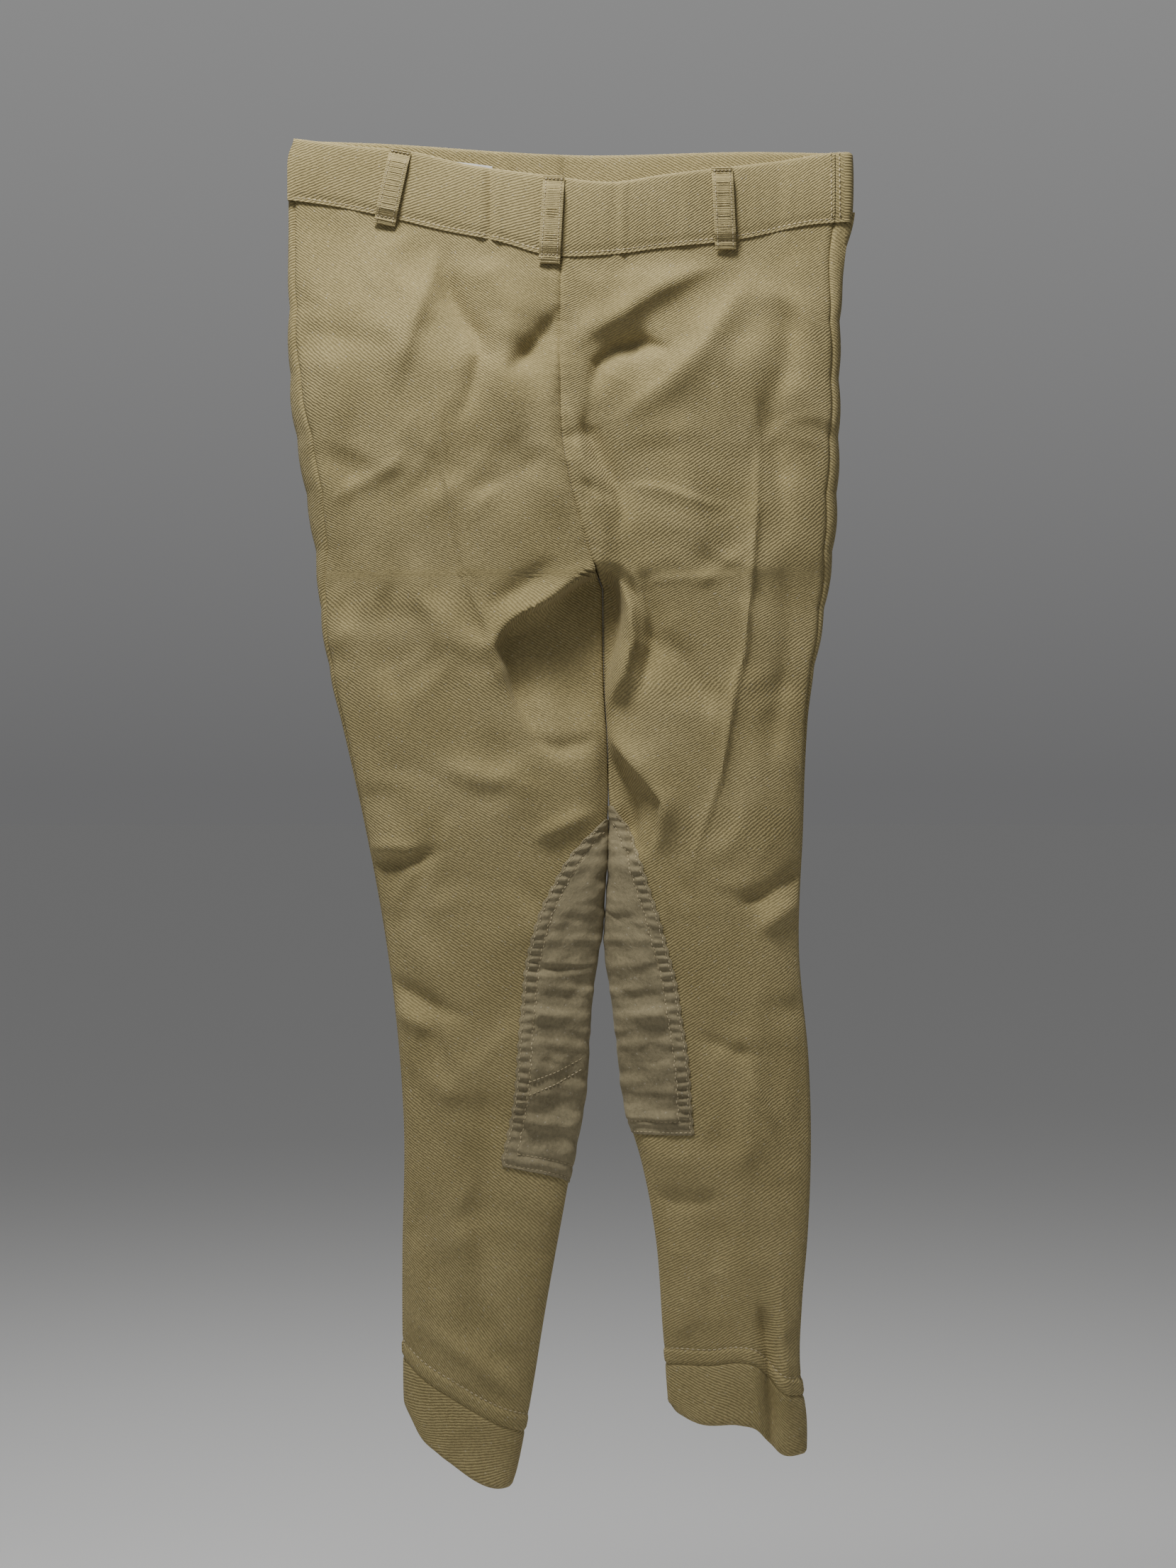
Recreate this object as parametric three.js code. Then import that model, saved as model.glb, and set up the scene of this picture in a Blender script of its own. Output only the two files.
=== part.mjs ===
// Child's pull-on riding jodhpurs, hanging by the waistband.
// Millimetres, +Z up, -Y is the front of the garment, +X is the wearer's left.
// The origin is the middle of the waist line, between the two clip places.
import * as THREE from 'three';

// ---- Cloth and clearances ----
const CLOTH = 1.5; // thickness of the ribbed knit, and of the elastic
const CASING_WALL = 1.2; // one layer of the waistband
const CUFF_WALL = 1.6; // turned hem band
const LABEL_THICK = 0.5;
const THREAD = 0.6;
const SEAM_GAP = 0.3; // between sewn pieces
const CASING_ROOM = 0.6; // between the band's walls and what lies inside it
const PATCH_GAP = 0.7; // patch to leg, over the rounded inseam

// ---- Waist and seat ----
const WAIST_WIDTH = 284; // band laid flat, side seam to side seam
const HIP_WIDTH = 280;
const WAIST_BULGE = 14; // how far the relaxed band opens each way
const CLIP_FLAT = 37; // band pressed flat at each end by a hanger clip
const BAND_HEIGHT = 38;
const SEAM_ALLOWANCE = 6; // panel edge tucked up into the band
const WAIST_STITCH_RISE = 3; // topstitch above the band's lower edge
const STITCHED_EDGE = 6; // lower edge of the band, held down by the topstitch
const STITCH_SINK = 0.5; // how far that edge lies in from the flat of the band
const TOP_FOLD = 1.5; // cloth across the folded top of the band
const ELASTIC_CLEAR = 2; // elastic to the panel edges tucked in below it
const DIP_FRONT = 15; // the middle of the band hangs below its ends
const DIP_BACK = 8;
const TILT = -0.022; // slope of the waist line as it hangs
const RISE = 213; // waist line to crotch
const SEAT_DEPTH = 44;
const LABEL_HEIGHT = 32;

// ---- Belt loops ----
const LOOP_WIDTH = 11;
const LOOP_BELOW = 3; // the loop's lower end hangs below the band
const LOOP_HEIGHT = BAND_HEIGHT + LOOP_BELOW;
const LOOP_THICK = 1.6;
const LOOP_ROOM = 6; // belt space behind the loop
const LOOP_PAD = 4; // sewn end of the loop
const LOOP_SEAT = 0.4; // extra room over the curve and twist of the band
const FRONT_LOOPS = [
  { name: 'belt_loop_front_right', x: -85, lean: 0.2 },
  { name: 'belt_loop_front_centre', x: -10, lean: 0.05 },
  { name: 'belt_loop_front_left', x: 76, lean: -0.04 },
];
const BACK_LOOPS = [
  { name: 'belt_loop_back_right', x: -78, lean: 0.03 },
  { name: 'belt_loop_back_centre', x: -14, lean: 0 },
  { name: 'belt_loop_back_left', x: 78, lean: -0.03 },
];

// ---- Legs: flat widths from the crotch down ----
const INSEAM = 447;
const THIGH_WIDTH = 142;
const MID_THIGH_WIDTH = 130;
const ABOVE_KNEE_WIDTH = 112;
const KNEE_WIDTH = 91;
const CALF_WIDTH = 78;
const ANKLE_WIDTH = 70;
const HEM_WIDTH = 66;
const CROTCH_DEPTH = 34;
const KNEE_DEPTH = 27;
const HEM_DEPTH = 22;
const CROTCH_X = 16; // the legs hang a little to the wearer's left
const LEG_GAP = 3;
const CUFF_HEIGHT = 31;
const HEM_STITCH_RISE = 8; // topstitch above the cuff seam

// ---- Knee patches ----
const PATCH_DROP = 126; // crotch to the point of the patch
const PATCH_LENGTH = 176;
const PATCH_WIDTH = 34; // on each face, from the inseam
const PATCH_POINT = 3;
const STITCH_MARGIN = 2; // patch edge to its topstitch
const PATCH_SHOULDER = 0.36; // share of the length taken by the curved top

// ---- Hip swing: the cloth bends about a line across each thigh ----
const HIP_DROP = RISE + 31;
const HIP_RADIUS = 24;
const HIP_CLEARANCE = 0.6;

// ---- Mesh steps ----
const BAND_STEPS = 28;
const PANEL_STEPS = 12;
const SEAT_ROWS = 12;
const THIGH_ROWS = 6;
const SHIN_ROWS = 5;
const PATCH_ROWS = [0, 0.03, 0.07, 0.125, 0.2, 0.3, 0.44, 0.58, 0.72, 0.86, 1]; // closer at the point
const PATCH_COLUMNS = 14;

const SIDES = [
  // lean is how far the inner edge stands off the middle, by share of the inseam
  {
    name: 'right',
    side: -1,
    length: INSEAM,
    hemSlope: -0.55,
    lean: [[0, 0], [0.2, 1.5], [0.3, 3], [0.39, 3.5], [0.5, 6.5], [0.62, 12], [0.77, 24], [0.87, 32], [1, 41]],
    spread: [[0, 1], [0.2, 1], [0.5, 1], [0.87, 1], [1, 0.93]],
  },
  {
    name: 'left',
    side: 1,
    length: INSEAM - 8,
    hemSlope: -0.17,
    lean: [[0, 0], [0.2, 1.5], [0.3, 3], [0.39, 3.5], [0.5, 5], [0.62, 13], [0.77, 25], [0.87, 28], [1, 29]],
    spread: [[0, 0.8], [0.2, 0.77], [0.39, 0.87], [0.5, 0.95], [0.77, 1], [0.87, 1.02], [1, 1.1]],
  },
];

const FLAT_WIDTH = [
  [0, THIGH_WIDTH],
  [0.2, MID_THIGH_WIDTH],
  [0.385, ABOVE_KNEE_WIDTH],
  [0.62, KNEE_WIDTH],
  [0.77, CALF_WIDTH],
  [0.865, ANKLE_WIDTH],
  [1, HEM_WIDTH],
];
const LEG_DEPTH = [[0, CROTCH_DEPTH], [0.55, KNEE_DEPTH], [1, HEM_DEPTH]];
// centre seam, as a share of the rise, wandering to the left as it nears the crotch
const CENTRE_SEAM = [[0, -6], [0.5, -6.5], [0.7, -4], [0.86, 4], [1, CROTCH_X]];

// ---- Small maths ----
const lerp = (a, b, t) => a + (b - a) * t;
const clamp01 = (t) => Math.min(1, Math.max(0, t));
const smoothstep = (from, to, value) => {
  const t = clamp01((value - from) / (to - from));
  return t * t * (3 - 2 * t);
};

// A smooth value through a short list of [position, value] stations.
function along(stations, at) {
  const last = stations.length - 1;
  let i = 0;
  while (i < last - 1 && at > stations[i + 1][0]) i += 1;
  const slope = (k) => {
    const before = stations[Math.max(0, k - 1)];
    const after = stations[Math.min(last, k + 1)];
    return (after[1] - before[1]) / (after[0] - before[0]);
  };
  const [p0, v0] = stations[i];
  const [p1, v1] = stations[i + 1];
  const span = p1 - p0;
  const t = clamp01((at - p0) / span);
  const t2 = t * t;
  const t3 = t2 * t;
  return (2 * t3 - 3 * t2 + 1) * v0 + (t3 - 2 * t2 + t) * span * slope(i)
    + (3 * t2 - 2 * t3) * v1 + (t3 - t2) * span * slope(i + 1);
}

// ---- The shape of the hanging garment ----
const halfGap = SEAM_GAP / 2;
const bandThick = 2 * CASING_WALL + CLOTH + 2 * CASING_ROOM;
const halfWaist = WAIST_WIDTH / 2;
const tuckedOuter = halfGap + CASING_WALL + CASING_ROOM + CLOTH;
const cutDrop = HIP_DROP - HIP_RADIUS;

// 1 at the middle of the waist, 0 along the stretch pressed flat at each end.
function bump(x) {
  const share = Math.abs(x) / (halfWaist - CLIP_FLAT);
  return share >= 1 ? 0 : (Math.cos(Math.PI * share) + 1) / 2;
}

// How the waist line dips and tilts, fading out down the seat.
function waistShift(x, face, drop) {
  const fade = 1 - smoothstep(BAND_HEIGHT, BAND_HEIGHT + 110, drop);
  const dip = face < 0 ? DIP_FRONT : DIP_BACK;
  return (TILT * x - dip * bump(x)) * fade;
}

function bandPoint(x, face, drop, inset) {
  const y = face * (halfGap + bandThick - inset + WAIST_BULGE * bump(x));
  return new THREE.Vector3(x, y, waistShift(x, face, drop) - drop);
}

// One leg's cross-section at a drop below the waist line.
function legSection(leg, drop) {
  const share = clamp01((drop - RISE) / leg.length);
  const width = along(FLAT_WIDTH, share) * along(leg.spread, share);
  const inner = CROTCH_X + leg.side * (LEG_GAP / 2 + along(leg.lean, share));
  return {
    a: width / 2,
    b: along(LEG_DEPTH, share) / 2,
    centre: inner + leg.side * (width / 2),
    slope: leg.hemSlope * smoothstep(0.6, 1, share),
  };
}

function seatOuter(leg, drop) {
  const section = legSection(leg, RISE);
  const crotchEdge = Math.abs(section.centre + leg.side * section.a);
  const hipEdge = HIP_WIDTH / 2 - leg.side * 3;
  const stations = [[0, halfWaist], [0.25, halfWaist], [0.58, hipEdge], [1, crotchEdge]];
  return along(stations, clamp01(drop / RISE));
}

// A point of a panel. u runs from the outseam (0) to the rise or inseam (1),
// inset goes inward from the outer surface.
function panelPoint(leg, face, u, drop, inset) {
  const { side } = leg;
  const seatDrop = Math.min(drop, RISE);
  const seam = along(CENTRE_SEAM, seatDrop / RISE);
  const reach = Math.abs(side * seatOuter(leg, seatDrop) - seam) - halfGap;
  const quarter = (u * Math.PI) / 2;
  const pinchX = seam + side * (halfGap + reach * Math.cos(quarter));
  const pinchY = face * (tuckedOuter - inset + WAIST_BULGE * bump(pinchX));
  const seatX = seam + side * (halfGap + (reach - inset) * Math.cos(quarter));
  const halfDepth = lerp(SEAT_DEPTH, CROTCH_DEPTH, smoothstep(RISE / 2, RISE, seatDrop)) / 2;
  const seatY = face * (halfGap + (halfDepth - halfGap - inset) * Math.sin(quarter));
  const section = legSection(leg, drop);
  const half = u * Math.PI;
  const legX = section.centre + side * (section.a - inset) * Math.cos(half);
  const legY = face * (halfGap + (section.b - halfGap - inset) * Math.sin(half));
  const opened = smoothstep(BAND_HEIGHT + 2, BAND_HEIGHT + 60, drop);
  const parted = smoothstep(RISE - 65, RISE, drop);
  const x = lerp(lerp(pinchX, seatX, opened), legX, parted);
  const y = lerp(lerp(pinchY, seatY, opened), legY, parted);
  const z = waistShift(x, face, drop) - drop + section.slope * (x - section.centre);
  return new THREE.Vector3(x, y, z);
}

// A point all the way round a leg: angle 0 is the outseam, PI the inseam.
function legPoint(leg, angle, drop, inset) {
  const section = legSection(leg, drop);
  const x = section.centre + leg.side * (section.a - inset) * Math.cos(angle);
  const y = -(section.b - inset) * Math.sin(angle);
  return new THREE.Vector3(x, y, section.slope * (x - section.centre) - drop);
}

// ---- Solids from rings of points ----
// Rings of equal count, each walked round the solid's section.
function loft(rings, closed, flat) {
  const count = rings[0].length;
  const positions = rings.flat().flatMap((point) => [point.x, point.y, point.z]);
  const index = [];
  const spans = closed ? rings.length : rings.length - 1;
  for (let i = 0; i < spans; i += 1) {
    const here = i * count;
    const next = ((i + 1) % rings.length) * count;
    for (let j = 0; j < count; j += 1) {
      const k = (j + 1) % count;
      index.push(here + j, here + k, next + k, here + j, next + k, next + j);
    }
  }
  if (!closed) {
    // The sides use each ring's edges forward at the first ring and backward at the last.
    for (const [a, b, c] of capTriangles(rings[0].map(flat))) {
      index.push(a, c, b);
    }
    const start = (rings.length - 1) * count;
    for (const [a, b, c] of capTriangles(rings.at(-1).map(flat))) {
      index.push(start + a, start + b, start + c);
    }
  }
  const geometry = new THREE.BufferGeometry();
  geometry.setAttribute('position', new THREE.Float32BufferAttribute(positions, 3));
  geometry.setIndex(facingOut(positions, index));
  geometry.computeVertexNormals();
  return geometry;
}

// A section's triangles, each walked the same way round as its outline.
function capTriangles(outline) {
  const { area } = THREE.ShapeUtils;
  const forward = Math.sign(area(outline));
  return THREE.ShapeUtils.triangulateShape(outline, []).map(([a, b, c]) => (
    Math.sign(area([outline[a], outline[b], outline[c]])) === forward ? [a, b, c] : [a, c, b]
  ));
}

// Turns every triangle round when the solid's signed volume is negative.
function facingOut(positions, index) {
  let volume = 0;
  const corner = (k) => new THREE.Vector3().fromArray(positions, 3 * index[k]);
  for (let k = 0; k < index.length; k += 3) {
    volume += corner(k).dot(corner(k + 1).cross(corner(k + 2)));
  }
  return volume < 0 ? index.slice().reverse() : index;
}

const steps = (count) => Array.from({ length: count + 1 }, (_, i) => i / count);
const spaced = (from, to, count) => steps(count).map((t) => lerp(from, to, t));
const fromAbove = (point) => new THREE.Vector2(point.x, point.y);
const alongSquare = (_, i) => new THREE.Vector2(i === 1 || i === 2 ? 1 : 0, i > 1 ? 1 : 0);
const fromSide = (point) => new THREE.Vector2(point.y, point.z);

// ---- Materials ----
const finish = (color, roughness) => new THREE.MeshStandardMaterial({ color, roughness, metalness: 0 });
const KNIT = finish('#b3a67c', 0.9);
const NAPPED = finish('#8f8463', 0.97);
const THREAD_COLOUR = finish('#a99c72', 0.8);
const ELASTIC_WHITE = finish('#e4e1d8', 0.85);
const LABEL_WHITE = finish('#eeeeea', 0.6);

const garment = new THREE.Group();

function add(name, geometry, material) {
  const mesh = new THREE.Mesh(geometry, material);
  mesh.name = name;
  garment.add(mesh);
  return mesh;
}

const FACES = [
  { name: 'front', face: -1 },
  { name: 'back', face: 1 },
];

// ---- Waistband: folded casing, elastic and topstitch, front and back ----
const bandX = spaced(-halfWaist, halfWaist, BAND_STEPS);
const foldRound = 0.8;
const edgeDrop = BAND_HEIGHT - STITCHED_EDGE;
const casingProfile = [
  [STITCH_SINK, BAND_HEIGHT],
  [STITCH_SINK, edgeDrop + 2 * STITCH_SINK],
  [0, edgeDrop],
  [0, foldRound],
  [foldRound, 0],
  [bandThick - foldRound, 0],
  [bandThick, foldRound],
  [bandThick, BAND_HEIGHT],
  [bandThick - CASING_WALL, BAND_HEIGHT],
  [bandThick - CASING_WALL, TOP_FOLD],
  [CASING_WALL, TOP_FOLD],
  [CASING_WALL, BAND_HEIGHT],
];
const elasticTop = TOP_FOLD + SEAM_GAP;
const elasticBottom = BAND_HEIGHT - SEAM_ALLOWANCE - ELASTIC_CLEAR;

function alongBand(face, profile, stations) {
  return stations.map((x) => profile.map(([inset, drop]) => bandPoint(x, face, drop, inset)));
}

// A strip lying in the band between two insets and two drops.
const strip = (near, far, top, bottom) => [[near, bottom], [near, top], [far, top], [far, bottom]];

for (const { name, face } of FACES) {
  const elasticInset = CASING_WALL + CASING_ROOM;
  const elastic = strip(elasticInset, elasticInset + CLOTH, elasticTop, elasticBottom);
  const stitchDrop = BAND_HEIGHT - WAIST_STITCH_RISE;
  const stitchInset = STITCH_SINK - SEAM_GAP;
  const stitch = strip(stitchInset - THREAD, stitchInset, stitchDrop - THREAD, stitchDrop);
  add(`waistband_${name}`, loft(alongBand(face, casingProfile, bandX), false, fromSide), KNIT);
  add(`waist_elastic_${name}`, loft(alongBand(face, elastic, bandX), false, fromSide), ELASTIC_WHITE);
  add(`waist_topstitch_${name}`, loft(alongBand(face, stitch, bandX), false, fromSide), THREAD_COLOUR);
}

// ---- Care label, sewn inside the back of the band ----
const labelFrom = BAND_STEPS / 2 - 6;
const labelX = bandX.slice(labelFrom, labelFrom + 3);
const labelInset = bandThick + SEAM_GAP;
const labelProfile = strip(labelInset, labelInset + LABEL_THICK, TOP_FOLD, TOP_FOLD + LABEL_HEIGHT);
add('care_label', loft(alongBand(1, labelProfile, labelX), false, fromSide), LABEL_WHITE);

// ---- Belt loops: flat strips sewn at both ends, standing off for the belt ----
function loopGeometry() {
  const slopeLength = LOOP_ROOM + 1;
  const inner = [
    [SEAM_GAP, 0],
    [SEAM_GAP, -LOOP_PAD],
    [LOOP_ROOM + SEAM_GAP, -LOOP_PAD - slopeLength],
    [LOOP_ROOM + SEAM_GAP, slopeLength + LOOP_PAD - LOOP_HEIGHT],
    [SEAM_GAP, LOOP_PAD - LOOP_HEIGHT],
    [SEAM_GAP, -LOOP_HEIGHT],
  ];
  const corner = LOOP_THICK * 0.4;
  const lift = [corner, corner, corner, -corner, -corner, -corner];
  const outer = inner.map(([out, z], i) => [out + LOOP_THICK, i % 5 === 0 ? z : z + lift[i]]);
  const outline = [...inner, ...outer.reverse()].map(([out, z]) => new THREE.Vector2(out, z));
  const geometry = new THREE.ExtrudeGeometry(new THREE.Shape(outline), {
    depth: LOOP_WIDTH,
    bevelEnabled: false,
  });
  // Drawn as (out, up) and extruded across: turn it so that it faces -Y.
  geometry.translate(0, 0, -LOOP_WIDTH / 2);
  geometry.rotateX(Math.PI / 2);
  geometry.rotateZ(-Math.PI / 2);
  return geometry;
}

function placeLoop({ name, x, lean }, face) {
  const here = bandPoint(x, face, 0, 0);
  const reach = LOOP_WIDTH / 2;
  const ahead = bandPoint(x + reach, face, 0, 0);
  const behind = bandPoint(x - reach, face, 0, 0);
  const yaw = Math.atan2(ahead.y - behind.y, ahead.x - behind.x);
  const mesh = add(name, loopGeometry(), KNIT);
  mesh.position.copy(here);
  const chord = (ahead.y + behind.y) / 2;
  mesh.position.y = face * (Math.max(face * here.y, face * chord) + LOOP_SEAT);
  mesh.rotation.set(0, lean, yaw + (face > 0 ? Math.PI : 0), 'ZYX');
}
FRONT_LOOPS.forEach((loop) => placeLoop(loop, -1));
BACK_LOOPS.forEach((loop) => placeLoop(loop, 1));

// A thread lying on a surface, through points that each have the surface's normal.
function thread(name, route) {
  const half = THREAD / 2;
  const rings = route.map(({ point, normal }, i) => {
    const before = route[Math.max(0, i - 1)].point;
    const after = route[Math.min(route.length - 1, i + 1)].point;
    const across = after.clone().sub(before).cross(normal).setLength(half);
    const up = normal.clone().multiplyScalar(half);
    return [
      point.clone().sub(across).sub(up),
      point.clone().add(across).sub(up),
      point.clone().add(across).add(up),
      point.clone().sub(across).add(up),
    ];
  });
  add(name, loft(rings, false, alongSquare), THREAD_COLOUR);
}

// ---- Panels: each cut piece runs from the band to the cuff, divided at the hip bend ----
function panelRing(leg, face, drop, finishRow) {
  const outer = steps(PANEL_STEPS).map((u) => panelPoint(leg, face, u, drop, 0));
  const inner = steps(PANEL_STEPS).map((u) => panelPoint(leg, face, u, drop, CLOTH));
  return [...outer, ...inner.reverse()].map(finishRow);
}

// Bends a row near the hip cut onto the round surface that the leg turns in.
function bendToHip(drop, edge, radius) {
  const reach = 24;
  const fade = clamp01(1 - Math.abs(drop - edge) / reach);
  return (point) => {
    const round = Math.sqrt(radius * radius - point.y * point.y);
    return point.setZ(point.z - (radius - round) * fade);
  };
}

const seatTop = BAND_HEIGHT - SEAM_ALLOWANCE;
const seatEdge = cutDrop - HIP_CLEARANCE / 2;
const legEdge = cutDrop + HIP_CLEARANCE / 2;
const patchTop = RISE + PATCH_DROP;
const patchBottom = patchTop + PATCH_LENGTH;
const patchDrop = (t) => lerp(patchTop, patchBottom, t);

for (const leg of SIDES) {
  const cuffSeam = RISE + leg.length - CUFF_HEIGHT;
  const legEnd = cuffSeam + SEAM_ALLOWANCE;
  // The leg's rows share the patch's rows, so that the two lie parallel.
  const legDrops = [
    ...spaced(legEdge, patchTop, THIGH_ROWS),
    ...PATCH_ROWS.slice(1, -1).map(patchDrop),
    ...spaced(patchBottom, legEnd, SHIN_ROWS),
  ];
  for (const { name, face } of FACES) {
    const seatRings = [seatTop, ...spaced(BAND_HEIGHT, seatEdge, SEAT_ROWS)]
      .map((drop) => panelRing(leg, face, drop, bendToHip(drop, seatEdge, HIP_RADIUS + HIP_CLEARANCE / 2)));
    const legRings = legDrops
      .map((drop) => panelRing(leg, face, drop, bendToHip(drop, legEdge, HIP_RADIUS - HIP_CLEARANCE / 2)));
    add(`${leg.name}_${name}_panel_seat`, loft(seatRings, false, fromAbove), KNIT);
    add(`${leg.name}_${name}_panel_leg`, loft(legRings, false, fromAbove), KNIT);
  }

  // Cuff: a turned band sewn round the leg's lower edge.
  const turns = steps(2 * PANEL_STEPS).slice(0, -1).map((t) => t * 2 * Math.PI);
  const hem = RISE + leg.length;
  const cuffInset = -SEAM_GAP;
  const cuffRings = turns.map((angle) => [
    legPoint(leg, angle, hem, cuffInset),
    legPoint(leg, angle, hem, cuffInset - CUFF_WALL),
    legPoint(leg, angle, cuffSeam, cuffInset - CUFF_WALL),
    legPoint(leg, angle, cuffSeam, cuffInset),
  ]);
  add(`${leg.name}_cuff`, loft(cuffRings, true), KNIT);

  // Hem topstitch, round the leg just above the cuff.
  const stitchDrop = cuffSeam - HEM_STITCH_RISE;
  const stitchRings = turns.map((angle) => [
    legPoint(leg, angle, stitchDrop, -SEAM_GAP),
    legPoint(leg, angle, stitchDrop, -SEAM_GAP - THREAD),
    legPoint(leg, angle, stitchDrop - THREAD, -SEAM_GAP - THREAD),
    legPoint(leg, angle, stitchDrop - THREAD, -SEAM_GAP),
  ]);
  add(`${leg.name}_hem_topstitch`, loft(stitchRings, true), THREAD_COLOUR);

  // Knee patch: wraps the inseam, pointed at the top and square at the bottom.
  const patchAngle = (t, drop, margin) => {
    const rise = Math.sin((Math.PI / 2) * clamp01(t / PATCH_SHOULDER)) ** 0.8;
    const width = lerp(PATCH_POINT, PATCH_WIDTH, rise) - margin;
    return Math.acos(clamp01(width / legSection(leg, drop).a) - 1);
  };
  const patchRow = (t, inset) => {
    const drop = patchDrop(t);
    const from = patchAngle(t, drop, 0);
    return spaced(from, 2 * Math.PI - from, PATCH_COLUMNS)
      .map((angle) => legPoint(leg, angle, drop, inset));
  };
  const patchRings = PATCH_ROWS.map((t) => {
    const outer = patchRow(t, -PATCH_GAP - CLOTH);
    const inner = patchRow(t, -PATCH_GAP);
    return [...outer, ...inner.reverse()];
  });
  add(`${leg.name}_knee_patch`, loft(patchRings, false, fromAbove), NAPPED);

  // Patch topstitch, up one edge of the patch, round its point and down the other.
  const stitchOff = -PATCH_GAP - CLOTH - SEAM_GAP - THREAD / 2;
  const edgeRows = [...PATCH_ROWS.slice(2, -1), 1 - STITCH_MARGIN / PATCH_LENGTH].reverse();
  const onPatch = (t, angle) => {
    const drop = patchDrop(t);
    const point = legPoint(leg, angle, drop, stitchOff);
    return { point, normal: legPoint(leg, angle, drop, stitchOff - 1).sub(point).normalize() };
  };
  const edgeAngle = (t) => patchAngle(t, patchDrop(t), STITCH_MARGIN);
  const pointRow = PATCH_ROWS[1];
  const turnFrom = edgeAngle(pointRow);
  thread(`${leg.name}_patch_topstitch`, [
    ...edgeRows.map((t) => onPatch(t, edgeAngle(t))),
    ...spaced(turnFrom, 2 * Math.PI - turnFrom, PATCH_COLUMNS).map((angle) => onPatch(pointRow, angle)),
    ...edgeRows.reverse().map((t) => onPatch(t, 2 * Math.PI - edgeAngle(t))),
  ]);
}

export default garment;
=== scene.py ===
# A child's pull-on riding jodhpurs in a fine tan knit, hung by the two ends of the waistband.
# Metres: +Z is up, -Y is the front of the garment and +X is the wearer's left.
import math

import bmesh
import bpy
import numpy as np
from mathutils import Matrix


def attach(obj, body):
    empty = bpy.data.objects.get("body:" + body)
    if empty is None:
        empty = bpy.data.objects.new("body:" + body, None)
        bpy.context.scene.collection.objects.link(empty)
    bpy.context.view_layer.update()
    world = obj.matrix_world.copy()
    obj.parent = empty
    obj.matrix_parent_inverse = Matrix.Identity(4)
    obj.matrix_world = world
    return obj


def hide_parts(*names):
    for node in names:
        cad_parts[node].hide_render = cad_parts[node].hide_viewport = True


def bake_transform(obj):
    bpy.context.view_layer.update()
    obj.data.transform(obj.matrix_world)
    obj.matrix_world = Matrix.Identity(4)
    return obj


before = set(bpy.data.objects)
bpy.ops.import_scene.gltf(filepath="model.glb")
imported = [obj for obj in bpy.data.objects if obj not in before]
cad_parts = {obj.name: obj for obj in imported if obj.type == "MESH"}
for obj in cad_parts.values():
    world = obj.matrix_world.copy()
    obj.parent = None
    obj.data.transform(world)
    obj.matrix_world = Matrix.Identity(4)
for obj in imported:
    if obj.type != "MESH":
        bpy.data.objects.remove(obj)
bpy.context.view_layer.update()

# ---- Camera, floor and light ----
# A level camera looks straight at the front, a little below the middle of the garment.
# The floor is plain and pale, and lies under the hems. The light is soft and falls from above.
look = bpy.data.cameras.new("camera")
look.lens = 58.8
look.clip_start = 0.05
look.clip_end = 40
camera = bpy.data.objects.new("camera", look)
camera.location = (0.008, -1.3, -0.321)
camera.rotation_euler = (math.radians(90), 0, 0)
bpy.context.scene.collection.objects.link(camera)
bpy.context.scene.camera = camera


def soft_light(name, place, aim, size, watts, colour):
    """A square area light at a place, turned towards another."""
    data = bpy.data.lights.new(name, "AREA")
    data.shape = "SQUARE"
    data.size = size
    data.energy = watts
    data.color = colour
    light = bpy.data.objects.new(name, data)
    light.location = place
    towards = np.array(aim, float) - np.array(place, float)
    turn = math.atan2(towards[0], -towards[1])
    light.rotation_euler = (math.atan2(np.hypot(towards[0], towards[1]), -towards[2]), 0, math.pi + turn)
    bpy.context.scene.collection.objects.link(light)


soft_light("key_light", (-0.16, -0.36, 0.53), (0.01, 0.0, -0.1), 0.2, 9.4, (1.0, 0.985, 0.95))
soft_light("fill_light", (-1.4, -1.2, 0.5), (0.0, 0.0, -0.3), 1.2, 1.6, (0.95, 0.97, 1.0))
soft_light("back_light", (-0.3, 0.9, 0.95), (0.0, 0.0, -0.2), 0.6, 14.0, (1.0, 1.0, 1.0))

sky = bpy.data.worlds.new("studio")
sky.use_nodes = True
up = sky.node_tree.nodes.new("ShaderNodeSeparateXYZ")
height = sky.node_tree.nodes.new("ShaderNodeValToRGB")
sky.node_tree.links.new(sky.node_tree.nodes.new("ShaderNodeTexCoord").outputs["Generated"], up.inputs["Vector"])
sky.node_tree.links.new(up.outputs["Z"], height.inputs["Fac"])
sky.node_tree.links.new(height.outputs["Color"], sky.node_tree.nodes["Background"].inputs["Color"])
height.color_ramp.elements[0].position, height.color_ramp.elements[0].color = 0.0, (0.148, 0.148, 0.15, 1)
height.color_ramp.elements[1].position, height.color_ramp.elements[1].color = 0.32, (0.28, 0.28, 0.28, 1)
height.color_ramp.elements.new(0.6).color = (0.16, 0.16, 0.16, 1)
bpy.context.scene.world = sky

FLOOR_Z = -0.95
FLOOR_REACH = 60.0
floor_mesh = bpy.data.meshes.new("floor")
floor_corners = [(x * FLOOR_REACH, y * FLOOR_REACH, FLOOR_Z) for x, y in ((-1, -1), (1, -1), (1, 1), (-1, 1))]
floor_mesh.from_pydata(floor_corners, [], [(0, 1, 2, 3)])
floor = bpy.data.objects.new("floor", floor_mesh)
bpy.context.scene.collection.objects.link(floor)
floor_finish = bpy.data.materials.new("pale_floor")
floor_finish.use_nodes = True
floor_finish.node_tree.nodes["Principled BSDF"].inputs["Base Color"].default_value = (0.8, 0.8, 0.8, 1)
floor_finish.node_tree.nodes["Principled BSDF"].inputs["Roughness"].default_value = 0.9
floor.data.materials.append(floor_finish)

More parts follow.
